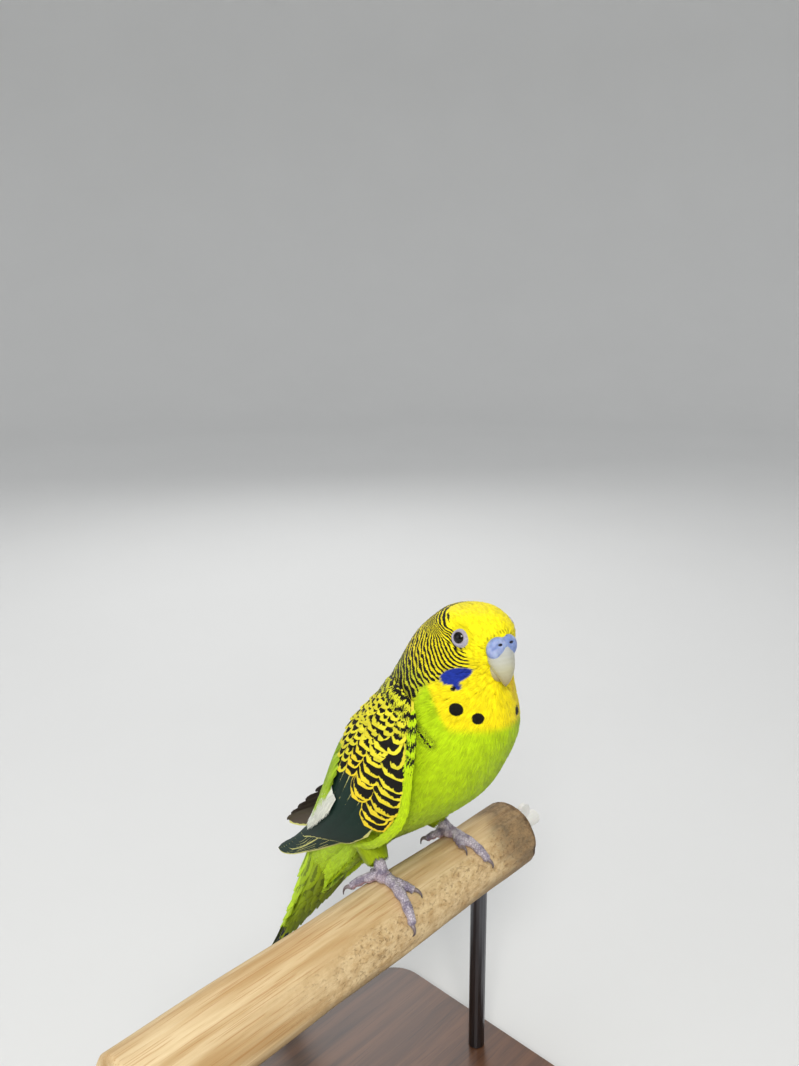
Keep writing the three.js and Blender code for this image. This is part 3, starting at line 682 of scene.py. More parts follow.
def tufts(roots, length, half, rise, barbs, strand_width):
    """Tufts of barbs over the skin. Each array has one value per root."""
    n = len(roots)
    t, phi = roots.T
    place, normal = on_skin(body_point(t, phi))
    q = TUFT_SHARES
    line = np.empty((n, TUFT_ROWS, 3))
    normals = np.empty_like(line)
    ways = np.empty_like(line)
    sway = rng.normal(0, 0.1, n)
    for k in range(TUFT_ROWS):
        way = lie(place, normal)
        way = unit(way + np.cross(normal, way) * sway[:, None])
        line[:, k], normals[:, k], ways[:, k] = place, normal, way
        if k + 1 < TUFT_ROWS:
            place, normal = on_skin(place + way * (length * (q[k + 1] - q[k]))[:, None])
    keep = ~near(line[:, 0], on_head(BILL_MIDDLE), BILL_BARE)
    for side in (-1, 1):
        keep &= ~near(line, EYES[side], EYE_BARE).any(1)
        keep &= ~near(line[:, 0], on_head(CERE["centre"], side), CERE_BARE)
    each = (line, normals, ways, roots, length, half, rise)
    return barbs_along(*(values[keep] for values in each), barbs, strand_width)


def barbs_along(line, normals, ways, roots, length, half, rise, barbs, strand_width):
    """Tufts whose middle lines are given, with the surface's normals and the feathers' ways along them."""
    n = len(line)
    per_barb = (n, barbs, 1, 1)
    length, half, rise = (values[:, None, None, None] for values in (length, half, rise))
    sides = np.cross(normals, ways)
    k = np.linspace(-1, 1, barbs)[None, :, None, None] + rng.normal(0, 0.12, per_barb)
    qq = TUFT_SHARES[None, None, :, None]
    long = length * rng.uniform(0.82, 1.06, per_barb)
    fan = half * (0.35 + 0.65 * qq ** 0.8) * k
    short = -long * qq * 0.2 * k * k
    lift = rise * (1 - (1 - qq) ** 2) * rng.uniform(0.75, 1.05, per_barb)
    lift = lift - 0.18 * rise * qq ** 4 - 0.1 * k * k
    wide = strand_width * (1 - 0.85 * qq ** 1.6)
    base = line[:, None] + ways[:, None] * short + sides[:, None] * fan + normals[:, None] * lift
    left = base - sides[:, None] * wide / 2
    right = base + sides[:, None] * wide / 2
    points = np.stack([left, right], 3)
    bend = normals[:, None] + sides[:, None] * (0.3 * k) + rng.normal(0, 0.07, (n, barbs, 1, 3))
    bend = np.broadcast_to(bend[:, :, :, None], points.shape)
    across, down, own = (
        np.broadcast_to(values[..., None, :], points.shape[:-1] + (1,))
        for values in (fan + 0 * qq, long * qq, rng.random(per_barb) * STREAK_JUMP)
    )
    strand = np.concatenate([across, down, own], -1)
    grain = np.broadcast_to(rng.random((n, 1, 1, 1)) * 0.7 + rng.random(per_barb) * 0.3, points.shape[:-1])
    centre_uv = np.stack([(roots[:, 1] + math.pi) / (2 * math.pi), roots[:, 0]], -1)
    patch = np.concatenate([across / (half[..., None] * 2.4), down / length[..., None] - 0.5], -1)
    uv = np.clip(centre_uv[:, None, None, None] + UV_PATCH * patch, 0.0, 1.0)
    strip = np.array([[2 * i, 2 * i + 2, 2 * i + 3, 2 * i + 1] for i in range(TUFT_ROWS - 1)])
    faces = strip[None] + (np.arange(n * barbs) * TUFT_ROWS * 2)[:, None, None]
    return {
        "points": points.reshape(-1, 3), "faces": faces.reshape(-1, 4), "normals": bend.reshape(-1, 3),
        "uv": uv.reshape(-1, 2), "strand": strand.reshape(-1, 3), "grain": grain.reshape(-1),
    }


def coat_piece(name, made):
    """A piece of tufts with the body's markings."""
    new_piece(name, {**made, **markings(made["points"])}, FEATHER_MATERIAL)


def wing_covers(t, phi):
    """Whether a place on the body is well under a folded wing."""
    p = body_point(t, phi)
    inside = np.zeros(len(p), bool)
    for i, point in enumerate(p):
        mirrored = Vector((-abs(point[0]), point[1], point[2]))
        hit = wing_tree.ray_cast(mirrored, Vector((-1, 0.12, 0.1)))
        inside[i] = hit[0] is not None
    return inside


# Wings

def wing_point(side, s, x, n, fan=0.0):
    """A point of a wing: its share from shoulder to tip, millimetres towards the upper edge, and out."""
    s = np.asarray(s, float)
    low, high = along(LOWER_EDGE, s), along(UPPER_EDGE, s)
    ahead = unit((along(LOWER_EDGE, s + 0.004) - along(LOWER_EDGE, s - 0.004))
                 + (along(UPPER_EDGE, s + 0.004) - along(UPPER_EDGE, s - 0.004)))
    across = high - low
    reach = np.maximum(np.linalg.norm(across, axis=-1) / 2, NARROWEST)
    across = unit(across - ahead * dot(across, ahead))
    out = np.cross(across, ahead)
    out = out * -np.sign(out[..., :1])
    bulge = along([[b, 0, 0] for b in WING_BULGE], s)[..., 0] * (1 - (x / reach) ** 2)
    point = (low + high) / 2 + across * np.asarray(x)[..., None] + out * (bulge + n)[..., None]
    if side < 0:
        return point
    point = point * np.array([-1, 1, 1])
    return spin(point, [1, 0, 0], LEFT_WING_LIFT + np.asarray(fan) * np.ones_like(s), SHOULDER)


def wing_reach(s):
    return np.linalg.norm(along(UPPER_EDGE, s) - along(LOWER_EDGE, s), axis=-1) / 2


def wing_grid(side, rows, columns, s_from, s_to, share, n):
    """A sheet of points over a wing, share of its reach wide."""
    s, h = np.meshgrid(np.linspace(s_from, s_to, rows), np.linspace(-1, 1, columns), indexing="ij")
    return wing_point(side, s, h * share * wing_reach(s), n + 0 * s)


# A sheet where the wing covers the body, and the dark sheet under its feathers: their rows and columns, from
# and to which share of the wing's length, which share of its reach, and how far out they lie
COVER = (24, 12, 0.04, 0.8, 0.86, 0.0)
CORE = (30, 14, 0.02, 0.72, 0.93, -1.3)
cover_points = wing_grid(-1, *COVER).reshape(-1, 3)
wing_tree = BVHTree.FromPolygons(cover_points.tolist(), grid_faces(*COVER[:2]).tolist())


# Body coat

BARB_WIDTH = 0.42
# The pieces of the coat, from crown to tail: where each ends, its slot, and its tufts' barbs and their width
COATS = {
    "coat_head": (0.2, "head_feathers", 6, 0.34),
    "coat_neck": (0.36, "neck_feathers", 7, 0.34),
    "coat_breast": (0.52, "body_feathers", 8, BARB_WIDTH),
    "coat_belly": (0.7, "body_feathers", 8, BARB_WIDTH),
    "coat_rump": (1.0, "body_feathers", 8, BARB_WIDTH),
}


def body_coat():
    """Tufts all over the body, apart from where the wings lie on it."""
    places = root_places()
    places = places[~wing_covers(places[:, 0], places[:, 1])]
    places = places[np.argsort(places[:, 0])]
    start = 0.0
    for name, (end, slot, barbs, width) in COATS.items():
        chosen = places[(places[:, 0] >= start) & (places[:, 0] < end)]
        t, phi = chosen.T
        grown = smooth(0.14, 0.42, t)
        near_bill = smooth(14, 5, np.linalg.norm(body_point(t, phi) - BILL, axis=1))
        length = (2.1 + 2.6 * grown) * (1 - 0.35 * near_bill) * rng.uniform(0.85, 1.15, len(chosen))
        half = (0.5 + 0.55 * grown) * (1 - 0.25 * near_bill)
        coat_piece(name, tufts(chosen, length, half, 0.92 * coat_depth(t), barbs, width))
        start = end


body_coat()


# Wing and tail feathers

VANE_ROWS, VANE_COLUMNS = 15, 11


def vane(place, half, length, ground, inner, fringe, tip_fringe, one_sided=0, root_uv=(0.5, 0.5),
         blunt=0.72):
    """A feather as a thin curved sheet. place(u, across, up) sets a point. Its margin is fringe wide at the
    sides and tip_fringe at the tip, or lies on one side only."""
    u = 1 - (1 - np.linspace(0, 1, VANE_ROWS)) ** 1.6
    w = np.sin(np.linspace(-math.pi / 2, math.pi / 2, VANE_COLUMNS))
    uu, ww = np.meshgrid(u, w, indexing="ij")
    end = np.clip((uu - blunt) / (1 - blunt), 0, 1)
    width = half * np.minimum(1, 0.55 + 1.2 * uu) * np.sqrt(np.clip(1 - 0.97 * end ** 2.2, 0, 1))
    camber = 0.16 * half * (1 - ww ** 2)
    frayed = 1 + 0.03 * rng.normal(size=uu.shape) * (np.abs(ww) > 0.9)
    points = place(uu, ww * width * frayed, camber)
    rim = np.minimum(width * (1 - np.abs(ww)) / fringe, length * (1 - uu) / tip_fringe)
    if one_sided:
        rim = np.where(ww * one_sided > 0, rim, 9.0)
    jump = rng.random()
    down = uu * length - np.abs(ww * width) * 1.1
    strand = np.stack([ww * width * 0.6, down, jump * STREAK_JUMP + 0 * uu], -1)
    patch = np.stack([ww / 2, uu - 0.5], -1)
    return {
        "points": points.reshape(-1, 3), "faces": grid_faces(VANE_ROWS, VANE_COLUMNS),
        "uv": np.clip(root_uv + UV_PATCH * patch, 0, 1).reshape(-1, 2), "strand": strand.reshape(-1, 3),
        "phase": 0.75 - 0.25 * np.clip(rim, 0, 2).ravel(), "duty": np.zeros(uu.size),
        "grain": np.full(uu.size, 0.25 + 0.4 * jump),
        "ground": np.broadcast_to(ground, (uu.size, 3)), "dark": np.broadcast_to(inner, (uu.size, 3)),
    }


def wing_vane(side, start, end, half, rise, lean=0.35, fan=0.0, **looks):
    """A wing feather from its root (s, share of the reach) to its tip, rising from root to tip."""
    (s0, h0), (s1, h1) = start, end
    length = np.linalg.norm(wing_point(side, s1, h1 * wing_reach(s1), 0.0)
                            - wing_point(side, s0, h0 * wing_reach(s0), 0.0))

    def place(u, across, up):
        s = s0 + (s1 - s0) * u
        x = (h0 + (h1 - h0) * u) * wing_reach(s) + across
        n = rise[0] + (rise[1] - rise[0]) * u - lean * across / half + up
        return wing_point(side, s, x, n, fan * u)

    root_uv = (0.5 - side * (0.25 + 0.12 * h0), 0.3 + 0.5 * s0)
    return vane(place, half, length, root_uv=root_uv, **looks)


# The wing's coverts: how far their roots and tips rise over the wing, how far up their sides run on straight,
# how they lean, and the width of their margins at the sides
COVERTS = {
    "shoulder": {"rise": (-1.1, 0.75), "blunt": 0.55, "fringe": 0.7},
    "front": {"rise": (-1.6, 0.75), "blunt": 0.7, "lean": 0.3, "fringe": 0.4},
    "back": {"rise": (-1.5, 0.8), "blunt": 0.5, "fringe": 0.7},
}


def covert(kind, side, start, end, half, ground, tip_fringe):
    """A black feather with a yellow margin."""
    return wing_vane(side, start, end, half, ground=ground, inner=BAR, tip_fringe=tip_fringe, **COVERTS[kind])


def shoulder_rows(side):
    """The small scallops over the shoulder, row by row."""
    for row, s in enumerate(np.arange(0.03, 0.17, 0.025)):
        count = 6 + (row % 2)
        for k in range(count):
            h = -0.95 + 1.8 * (k + 0.5 * (row % 2)) / count + rng.uniform(-0.04, 0.04)
            end = s + 0.04 + rng.uniform(-0.006, 0.006)
            yield covert("shoulder", side, (end - 0.08, h * 0.9), (end, h), 2.7,
                         FRINGE * rng.uniform(0.85, 1.05), rng.uniform(1.05, 1.35))


def front_coverts(side):
    """The coverts along the wing's lower half, whose ends make long curved bars."""
    rows = 8
    for row in range(rows):
        k = row / (rows - 1)
        s = 0.195 + 0.19 * k
        ground = FRINGE * (1 - k) + FRINGE_LOW * k
        for h, half in ((-0.93, 4.7), (-0.52, 4.6), (-0.12, 4.2)):
            h = h + rng.uniform(-0.03, 0.03)
            end = s - 0.1 * (h + 0.86) + rng.uniform(-0.004, 0.004)
            yield covert("front", side, (end - 0.12, h + 0.06), (end, h), half * (1 - 0.2 * k),
                         ground * rng.uniform(0.92, 1.05), rng.uniform(1.3, 1.55))


def back_coverts(side):
    """The scallops along the wing's upper half."""
    rows = 7
    for row in range(rows):
        k = row / (rows - 1)
        for column in range(4):
            h = 0.12 + 0.26 * column + 0.05 * (row % 2) + rng.uniform(-0.03, 0.03)
            s = 0.15 + 0.2 * k - 0.012 * column + rng.uniform(-0.004, 0.004)
            yield covert("back", side, (s - 0.1, h), (s, h), 3.1 - 0.5 * k,
                         FRINGE * rng.uniform(0.88, 1.05), 1.4)


# The flight feathers of each side: how many, half their width and how far they spread, for the inner and the
# outer ones, and their colour and the width of their pale edge
FLIGHTS = {
    -1: {"inner": (7, 3.3, 0.0), "outer": (8, 2.5, 0.0), "tone": QUILL_TEAL, "edge": 0.3},
    1: {"inner": (4, 5.2, 3.5 * DEGREE), "outer": (5, 3.9, 3.0 * DEGREE), "tone": QUILL_BROWN, "edge": 0.5},
}
FLIGHT_LOOKS = {"ground": PALE_EDGE, "one_sided": -1, "blunt": 0.8, "lean": 0.5}
# The width of an edge that hardly shows
WORN_EDGE = 0.03


def flight_feathers(side):
    """Secondaries and primaries, dark with a thin pale edge. The left ones spread a little and look brown."""
    tone, edge = FLIGHTS[side]["tone"], FLIGHTS[side]["edge"]
    count, half, spread = FLIGHTS[side]["inner"]
    for i in range(count):
        k = i / (count - 1)
        yield wing_vane(side, (0.22, -0.8 + 1.3 * k), (0.6 + 0.16 * k, -0.78 + 1.35 * k), half,
                        (-1.9, -0.55 + 0.05 * i), fan=spread * k, inner=tone * 0.8, fringe=edge,
                        tip_fringe=0.3, **FLIGHT_LOOKS)
    count, half, spread = FLIGHTS[side]["outer"]
    for i in range(count):
        k = i / (count - 1)
        margin = edge if side > 0 or i % 4 == 0 else WORN_EDGE
        yield wing_vane(side, (0.34, -0.85 + 1.1 * k), (1.0 - 0.17 * k ** 1.3, -0.6 + 1.2 * k), half,
                        (-2.0, -1.05 + 0.07 * i), fan=spread * k, inner=tone, fringe=margin,
                        tip_fringe=margin, **FLIGHT_LOOKS)


WING_LENGTH = 100.0
# Soft tufts on a wing: over the shoulder, along the front edge, over the rear edge from the rump, and the
# cream ones between the rump and the flight feathers. s is where their roots are, and limit holds them in.
WING_TUFTS = {
    "shoulder": {"count": 420, "s": (0.0, 0.06), "length": 4.2, "half": 1.3, "rise": 1.0, "limit": 1.0,
                 "colour": NAPE},
    "edge": {"count": 320, "s": (0.02, 0.5), "length": 4.2, "half": 1.2, "rise": 0.9, "limit": 1.24,
             "colour": LIME},
    "rump": {"count": 640, "s": (0.36, 0.6), "length": 5.0, "half": 1.6, "rise": 1.2, "limit": 1.12,
             "colour": RUMP},
    "cream": {"count": 280, "s": (0.44, 0.62), "length": 7.5, "half": 1.4, "rise": 1.2, "limit": 1.0,
              "colour": CREAM},
}
# The line over a wing where the rump's tufts begin, as s and share of the reach
RUMP_LINE_S = [0.3, 0.335, 0.38, 0.45, 0.55, 0.7]
RUMP_LINE_H = [1.0, 0.7, 0.35, 0.25, 0.45, 0.9]


def wing_tuft_places(kind):
    """Where a kind of soft tufts has its roots on a wing: s and share of the reach."""
    count = WING_TUFTS[kind]["count"]
    s = rng.uniform(*WING_TUFTS[kind]["s"], count)
    share = rng.random(count)
    line = np.interp(s, RUMP_LINE_S, RUMP_LINE_H)
    start, end = {
        "shoulder": (-1.1, 0.9),
        "edge": (-1.4, -1.22),
        "rump": (line, 1.15),
        "cream": (line - 0.3, line + 0.05),
    }[kind]
    return s, start + (end - start) * share


def wing_coat(side, name):
    """Soft tufts that run on over the wing from the neck, the breast and the rump."""
    gathered = []
    for kind, tuft in WING_TUFTS.items():
        s, h = wing_tuft_places(kind)
        count = len(s)
        lengths = tuft["length"] * rng.uniform(0.85, 1.15, count)
        sunk = np.full(count, -0.2)
        held = np.clip(h, -tuft["limit"], tuft["limit"])
        ends = [s + q * lengths / WING_LENGTH for q in TUFT_SHARES]
        line = np.stack([wing_point(side, end, held * wing_reach(end), sunk) for end in ends], 1)
        ways = unit(np.gradient(line, axis=1))
        beside = wing_point(side, s, held * wing_reach(s) + 0.4, sunk)[:, None]
        normals = unit(np.cross(ways, beside - line[:, :1]))
        normals = normals * np.sign(dot(normals, line - BODY_MIDDLE))
        roots = np.stack([0.2 + 0.6 * s, side * 1.6 + 0.3 * h], -1)
        half, rise = np.full(count, tuft["half"]), np.full(count, tuft["rise"])
        made = barbs_along(line, normals, ways, roots, lengths, half, rise, 9, BARB_WIDTH)
        per_tuft = len(made["points"]) // count
        s_all, h_all = np.repeat(s, per_tuft), np.repeat(h, per_tuft)
        barred = {"shoulder": 1.0, "edge": smooth(0.16, 0.08, s_all)}.get(kind, 0.0)
        made["phase"] = (s_all * WING_LENGTH + made["strand"][:, 1]) / 3.2 + 0.2 * np.sin(h_all * 14)
        made["duty"] = NO_BARS + 1.3 * barred + 0 * s_all
        made["ground"] = np.broadcast_to(tuft["colour"], made["points"].shape)
        gathered.append(made)
    new_piece(f"coat_{name}", {**gather(gathered), "dark": BAR}, FEATHER_MATERIAL)


def wing(side, name):
    """A wing's feathers over a dark sheet, and the soft tufts round its edges."""
    vanes = [*flight_feathers(side), *back_coverts(side), *front_coverts(side), *shoulder_rows(side)]
    new_piece(f"feathers_{name}", gather(vanes), QUILL_MATERIAL, (name,))
    core = wing_grid(side, *CORE).reshape(-1, 3)
    dark = {"ground": QUILL_DARK, "dark": QUILL_DARK, "phase": 0.0, "duty": NO_BARS, "grain": SKIN_GRAIN}
    new_piece(f"{name}_core", {"points": core, "faces": grid_faces(*CORE[:2]), "strand": core, **dark},
              SKIN_MATERIAL)
    wing_coat(side, name)


wing(-1, "wing_right")
wing(1, "wing_left")


# Tail

TAIL_ALONG = np.array([0, math.cos(TAIL["drop"]), -math.sin(TAIL["drop"])])
TAIL_UP = np.array([0, math.sin(TAIL["drop"]), math.cos(TAIL["drop"])])
# Each pair of tail feathers, from the middle one outwards, as a share of the longest
TAIL_SHARES = [1, 0.93, 0.8, 0.7, 0.62, 0.55]
# How far down the tail its feathers begin
TAIL_HIDDEN = 14


def set_out(origin, x, lift):
    """Places from an origin, sideways by x and out of the tail's upper side by lift."""
    return origin + x[..., None] * np.array([1, 0, 0]) + lift[..., None] * TAIL_UP


def tail_feather(k, side):
    """One feather of the tail's pair k. The middle pair is on top and the longest."""
    length = TAIL["length"] * TAIL_SHARES[k]
    half = 3.5 - 0.15 * k

    def place(u, across, up):
        x = side * (0.9 + 0.95 * k) * (1 - 0.45 * u) + across * (1 - 0.3 * u)
        lift = -0.5 * k + 0.12 * side + up - side * 0.3 * across / half
        far = TAIL_HIDDEN + (length - TAIL_HIDDEN) * u
        return set_out(np.array(TAIL["start"]) + far[..., None] * TAIL_ALONG, x, lift)

    ground = linear(172, 184, 44) if k > 1 else linear(120, 142, 60)
    return vane(place, half, length, ground, linear(14, 30, 46), 1.1, 0.6, blunt=0.86)


# The sheath of coverts round the tail's root. Each row is centre y, z, half across, half through.
SHEATH = [
    [34.5, -14.0, 8.0, 8.2],
    [37.5, -21.0, 6.9, 7.2],
    [42.5, -29.5, 5.8, 5.6],
    [48.0, -39.0, 4.9, 4.0],
    [54.5, -49.5, 4.3, 2.7],
    [59.5, -58.5, 3.9, 1.9],
]


SHEATH_RINGS, SHEATH_COUNT = 9, 14
SHEATH_SPAN = 0.42


def tail_covert(ring, i):
    """One covert round the tail's root: the i-th of its ring."""
    turn = 2 * math.pi * (i + 0.5 * (ring % 2)) / SHEATH_COUNT
    reach = (SHEATH_SPAN - 0.01 * ring) * rng.uniform(0.85, 1.1)
    above = smooth(-0.6, 0.6, math.cos(turn))

    def place(u, across, up):
        row = along(SHEATH, np.clip(0.07 * ring + reach * u, 0, 1))
        angle = turn + across / (0.5 * (row[..., 2] + row[..., 3])) * (1 - 0.3 * u)
        swell = -0.7 + 1.7 * u + up - 0.1 * ring
        centre = np.stack([0 * u, row[..., 0], row[..., 1]], -1)
        return set_out(centre, (row[..., 2] + swell) * np.sin(angle), (row[..., 3] + swell) * np.cos(angle))

    # Coverts under the tail are darker olive: painted shade.
    ground = (RUMP * above + OLIVE * 0.62 * (1 - above)) * rng.uniform(0.85, 1.1)
    return vane(place, 2.0, 21 * reach / SHEATH_SPAN, ground, ground * 0.45, 1.3, 5.0, blunt=0.35)


tail = [tail_feather(k, side) for k in range(len(TAIL_SHARES)) for side in (-1, 1)]
new_piece("feathers_tail", gather(tail), QUILL_MATERIAL, ("tail",))
sheath = [tail_covert(ring, i) for ring in range(SHEATH_RINGS) for i in range(SHEATH_COUNT)]
new_piece("feathers_tail_coverts", gather(sheath), QUILL_MATERIAL)


# Bare parts

def shell(grid, mark=0.0):
    """A closed shell from a grid of points whose rows run round, to be gathered into a piece."""
    rows, columns = grid.shape[:2]
    return {"points": grid.reshape(-1, 3), "faces": grid_faces(rows, columns, closed=True),
            "mark": (mark + np.zeros((rows, columns))).ravel()}


# Points nearer to each other than this, in metres, become one.
SEWN_WITHIN = 2e-7


def shell_piece(name, shells, worn, replaces=()):
    """One piece of closed shells, sewn up at their ends."""
    piece = new_piece(name, gather(shells), worn, replaces)
    sewn = bmesh.new()
    sewn.from_mesh(piece.data)
    bmesh.ops.remove_doubles(sewn, verts=sewn.verts, dist=SEWN_WITHIN)
    bmesh.ops.recalc_face_normals(sewn, faces=sewn.faces)
    sewn.to_mesh(piece.data)
    sewn.free()


def directions(rows, columns):
    """Directions from a centre all round, in rows from one pole to the other."""
    a = np.linspace(0, math.pi, rows)[:, None]
    b = circle(columns)[None]
    return np.stack([np.sin(a) * np.cos(b), np.sin(a) * np.sin(b), np.cos(a) + 0 * b], -1)


def turn_to(points, axis):
    """Points whose +Z is turned to look along axis."""
    turn = np.array(Vector((0, 0, 1)).rotation_difference(Vector(axis)).to_matrix())
    return points @ turn.T


# Eyes

# The ball stands proud of the skin. Pupil and iris end at these angles from its axis.
EYE_BALL = {"radius": 2.1, "proud": 1.0, "pupil": 0.62, "iris": 0.74}
# The lid's section, all round it: distance from the eye's axis, and height over the ball's centre
LID_SECTION = [
    [1.56, 1.15], [1.62, 1.48], [1.76, 1.6], [1.94, 1.52], [2.12, 1.32], [2.3, 1.08], [2.5, 0.75], [3.0, 0.1],
    [2.9, -0.4], [1.6, 0.4], [1.56, 1.15],
]


def eye_material():
    look = Surface("eye", Roughness=0.06, Specular_IOR_Level=0.35)
    black, brown, pale = linear(6, 5, 7), linear(44, 34, 32), linear(176, 170, 176)
    pupil, iris = EYE_BALL["pupil"] / math.pi, EYE_BALL["iris"] / math.pi
    share = look.math_node("DIVIDE", look.attribute("mark"), math.pi)
    return look.wire(Base_Color=look.ramp(share, [
        (0.0, black), (pupil, black), (pupil + 0.015, brown), (iris - 0.005, brown), (iris + 0.01, pale),
        (iris + 0.03, pale), (iris + 0.06, black)]))


def lid_material():
    look = Surface("eyelid", Roughness=0.6, Specular_IOR_Level=0.3)
    wrinkles = look.noise(look.coordinates(), 2600.0)
    colour = look.colour_mix(wrinkles, linear(132, 126, 146), linear(206, 202, 216))
    return look.wire(Base_Color=colour, Normal=look.bump(wrinkles, 0.00012, 0.8))


EYE_MATERIAL = eye_material()
LID_MATERIAL = lid_material()


def eyelid(axis):
    """A beaded ring of bare skin round an eye, about the ball's centre."""
    section = along(LID_SECTION, np.linspace(0, 1, 60))
    round_ = circle(132)[None]
    out, height = section[:, :1], section[:, 1:]
    beads = 0.07 * np.sin(round_ * 22) * smooth(1.62, 1.74, out) * smooth(2.05, 1.85, out)
    folds = 0.04 * np.sin(round_ * 31 + 1.7 * np.sin(round_ * 3))
    folds = folds * smooth(1.9, 2.1, out) * smooth(2.8, 2.5, out)
    rough = beads + folds
    ring = np.stack([(out + rough) * np.cos(round_), (out + rough) * np.sin(round_), height + rough], -1)
    ring = turn_to(ring, axis)
    # Above the eye the ring narrows towards its inner edge.
    away = ring - axis * dot(ring, axis)
    far = np.linalg.norm(away, axis=-1, keepdims=True)
    narrowed = 0.55 * smooth(-0.2, 0.9, (away / far)[..., 2:])
    return ring - away / far * np.maximum(far - 1.75, 0) * narrowed


def eye(side, name):
    centre = EYES[side]
    place, normal = on_skin(centre[None])
    axis = normal[0]
    depth = float(np.linalg.norm(place[0] - centre))
    ball_centre = centre + axis * (depth + EYE_BALL["proud"] - EYE_BALL["radius"])
    ball = directions(49, 64)
    from_axis = np.arccos(np.clip(ball[..., 2], -1, 1))
    ball = shell(turn_to(ball * EYE_BALL["radius"], axis) + ball_centre, from_axis)
    shell_piece(name.replace("eye", "eyeball"), [ball], EYE_MATERIAL, (name,))
    lid = shell(eyelid(axis) + ball_centre)
    shell_piece(name.replace("eye", "eyelid"), [lid], LID_MATERIAL)


eye(-1, "eye_right")
eye(1, "eye_left")


# Cere and bill

NOSTRIL = [1.9, -35.9, 75.9]


def cere_material():
    look = Surface("cere", Roughness=0.42, Specular_IOR_Level=0.45, Subsurface_Weight=0.1,
                                  Subsurface_Scale=0.001)
    mark = look.attribute("mark")
    place = look.coordinates()
    grain = look.noise(place, 1500.0, 4.0)
    blue = look.colour_mix(grain, linear(92, 116, 176), linear(146, 162, 206))
    # Pale lilac blotches over the blue: painted highlights.
    highlight_blotches = look.noise(place, 330.0, 2.0)
    blue = look.colour_mix(look.step(highlight_blotches, 0.45, 0.68, 0.0, 0.8), blue, linear(176, 188, 224))
    colour = look.colour_mix(look.step(mark, 0.1, 0.9), blue, linear(206, 204, 204))
    # Near black in the nostrils: painted shade inside them.
    colour = look.colour_mix(look.step(mark, -0.7, -0.2, 1.0, 0.0), colour, linear(24, 20, 34))
    return look.wire(Base_Color=colour, Normal=look.bump(grain, 0.00008, 0.6))


def cere():
    """Two rounded halves that run into each other, with a nostril in each."""
    way = directions(91, 128)
    centre = np.array(CERE["centre"])
    radii = np.array(CERE["radii"])
    core = np.array([0.0, centre[1] + 0.4, centre[2]])
    reach = []
    for side in (-1, 1):
        offset = (core - centre * [side, 1, 1]) / radii
        ray = way / radii
        a, b, c = (ray * ray).sum(-1), (ray * offset).sum(-1), (offset * offset).sum() - 1
        reach.append((-b + np.sqrt(b * b - a * c)) / a)
    sharp = 2.2
    joined = np.log(np.exp(sharp * reach[0]) + np.exp(sharp * reach[1])) / sharp - 0.2
    points = core + way * joined[..., None]
    mark = smooth(72.9, 72.0, points[..., 2])
    for side in (-1, 1):
        rel = (points - np.array(NOSTRIL) * [side, 1, 1]) / [0.75, 1.2, 0.36]
        hole = np.exp(-(rel ** 2).sum(-1) * 1.4)
        points = points - way * (0.75 * hole)[..., None]
        # Down in each nostril the mark drops, for the painted shade there.
        mark = mark - 1.4 * hole
    shell_piece("cere_skin", [shell(on_head(points), mark)], cere_material(), ("cere",))


# Each row is half width, front y, z, back y, z, as for the body.
UPPER_BILL = [
    [0, -33.4, 76.4, -33.4, 76.4],
    [3.4, -35.8, 75.2, -30.6, 73.8],
    [3.6, -37.0, 72.2, -30.6, 71.4],
    [3.0, -37.6, 69.6, -32.2, 69.2],
    [1.9, -37.3, 67.2, -34.4, 67.2],
    [0.9, -36.6, 65.4, -35.3, 65.6],
    [0, -35.9, 64.5, -35.9, 64.5],
]
LOWER_BILL = [
    [0, -31.8, 71.0, -31.8, 71.0],
    [2.3, -34.0, 70.0, -30.6, 69.2],
    [2.3, -35.2, 68.2, -31.6, 66.8],
    [1.5, -35.4, 66.6, -32.8, 65.4],
    [0, -34.6, 65.2, -34.6, 65.2],
]


def bill_material():
    look = Surface("bill", Roughness=0.34, Specular_IOR_Level=0.5, Coat_Weight=0.15,
                                  Coat_Roughness=0.3)
    flakes = look.streaks(look.coordinates(), (260, 260, 900), 4.0)
    colour = look.ramp(look.plus(look.attribute("mark"), flakes, 0.16), [
        (0.05, linear(176, 182, 196)), (0.3, linear(184, 186, 182)), (0.6, linear(182, 178, 146)),
        (0.85, linear(166, 150, 104)), (1.0, linear(140, 124, 80))])
    return look.wire(Base_Color=colour, Normal=look.bump(flakes, 0.00008, 0.5))


def bill_shell(rows, rings, sides, ridge, darker):
    """Half of the bill, with a ridge down its front. Its mark runs from root to tip, from darker to 1."""
    t = np.linspace(0, 1, rings)
    phi = circle(sides)[None]
    front, back = front_and_back(rows, t)
    middle, through = (front + back)[:, None, 1:] / 2, (front - back)[:, None, 1:] / 2
    half = np.maximum(front[:, None, 0], 0)
    keel = 1 + ridge * np.exp(-(np.minimum(phi, 2 * math.pi - phi) / 0.35) ** 2)
    lines = 1 + 0.008 * np.sin(t[:, None] * 95 + 2 * np.cos(phi))
    across = half * np.sin(phi) * lines
    forward = middle + through * (np.cos(phi) * keel * lines)[..., None]
    mark = t[:, None] * (1 - darker) + darker
    return shell(on_head(np.concatenate([across[..., None], forward], -1)), mark)


def bill():
    worn = bill_material()
    for half, rows, ridge, darker in (("upper", UPPER_BILL, 0.05, 0.0), ("lower", LOWER_BILL, 0.0, 0.25)):
        shells = [bill_shell(rows, 90, 72, ridge, darker)]
        shell_piece(f"bill_{half}", shells, worn, (f"beak_{half}",))


cere()
bill()


# Legs, feet and claws

def perch_point(x, angle, out):
    """A point by the perch: x along it, the angle in degrees from its top to the front, and how far out."""
    radius = PERCH["radius"] + out
    angle = np.radians(angle)
    x = x + 0 * angle
    return np.stack([x, -radius * np.sin(angle) - BIRD_AT[1], radius * np.cos(angle) - PERCH["radius"]], -1)


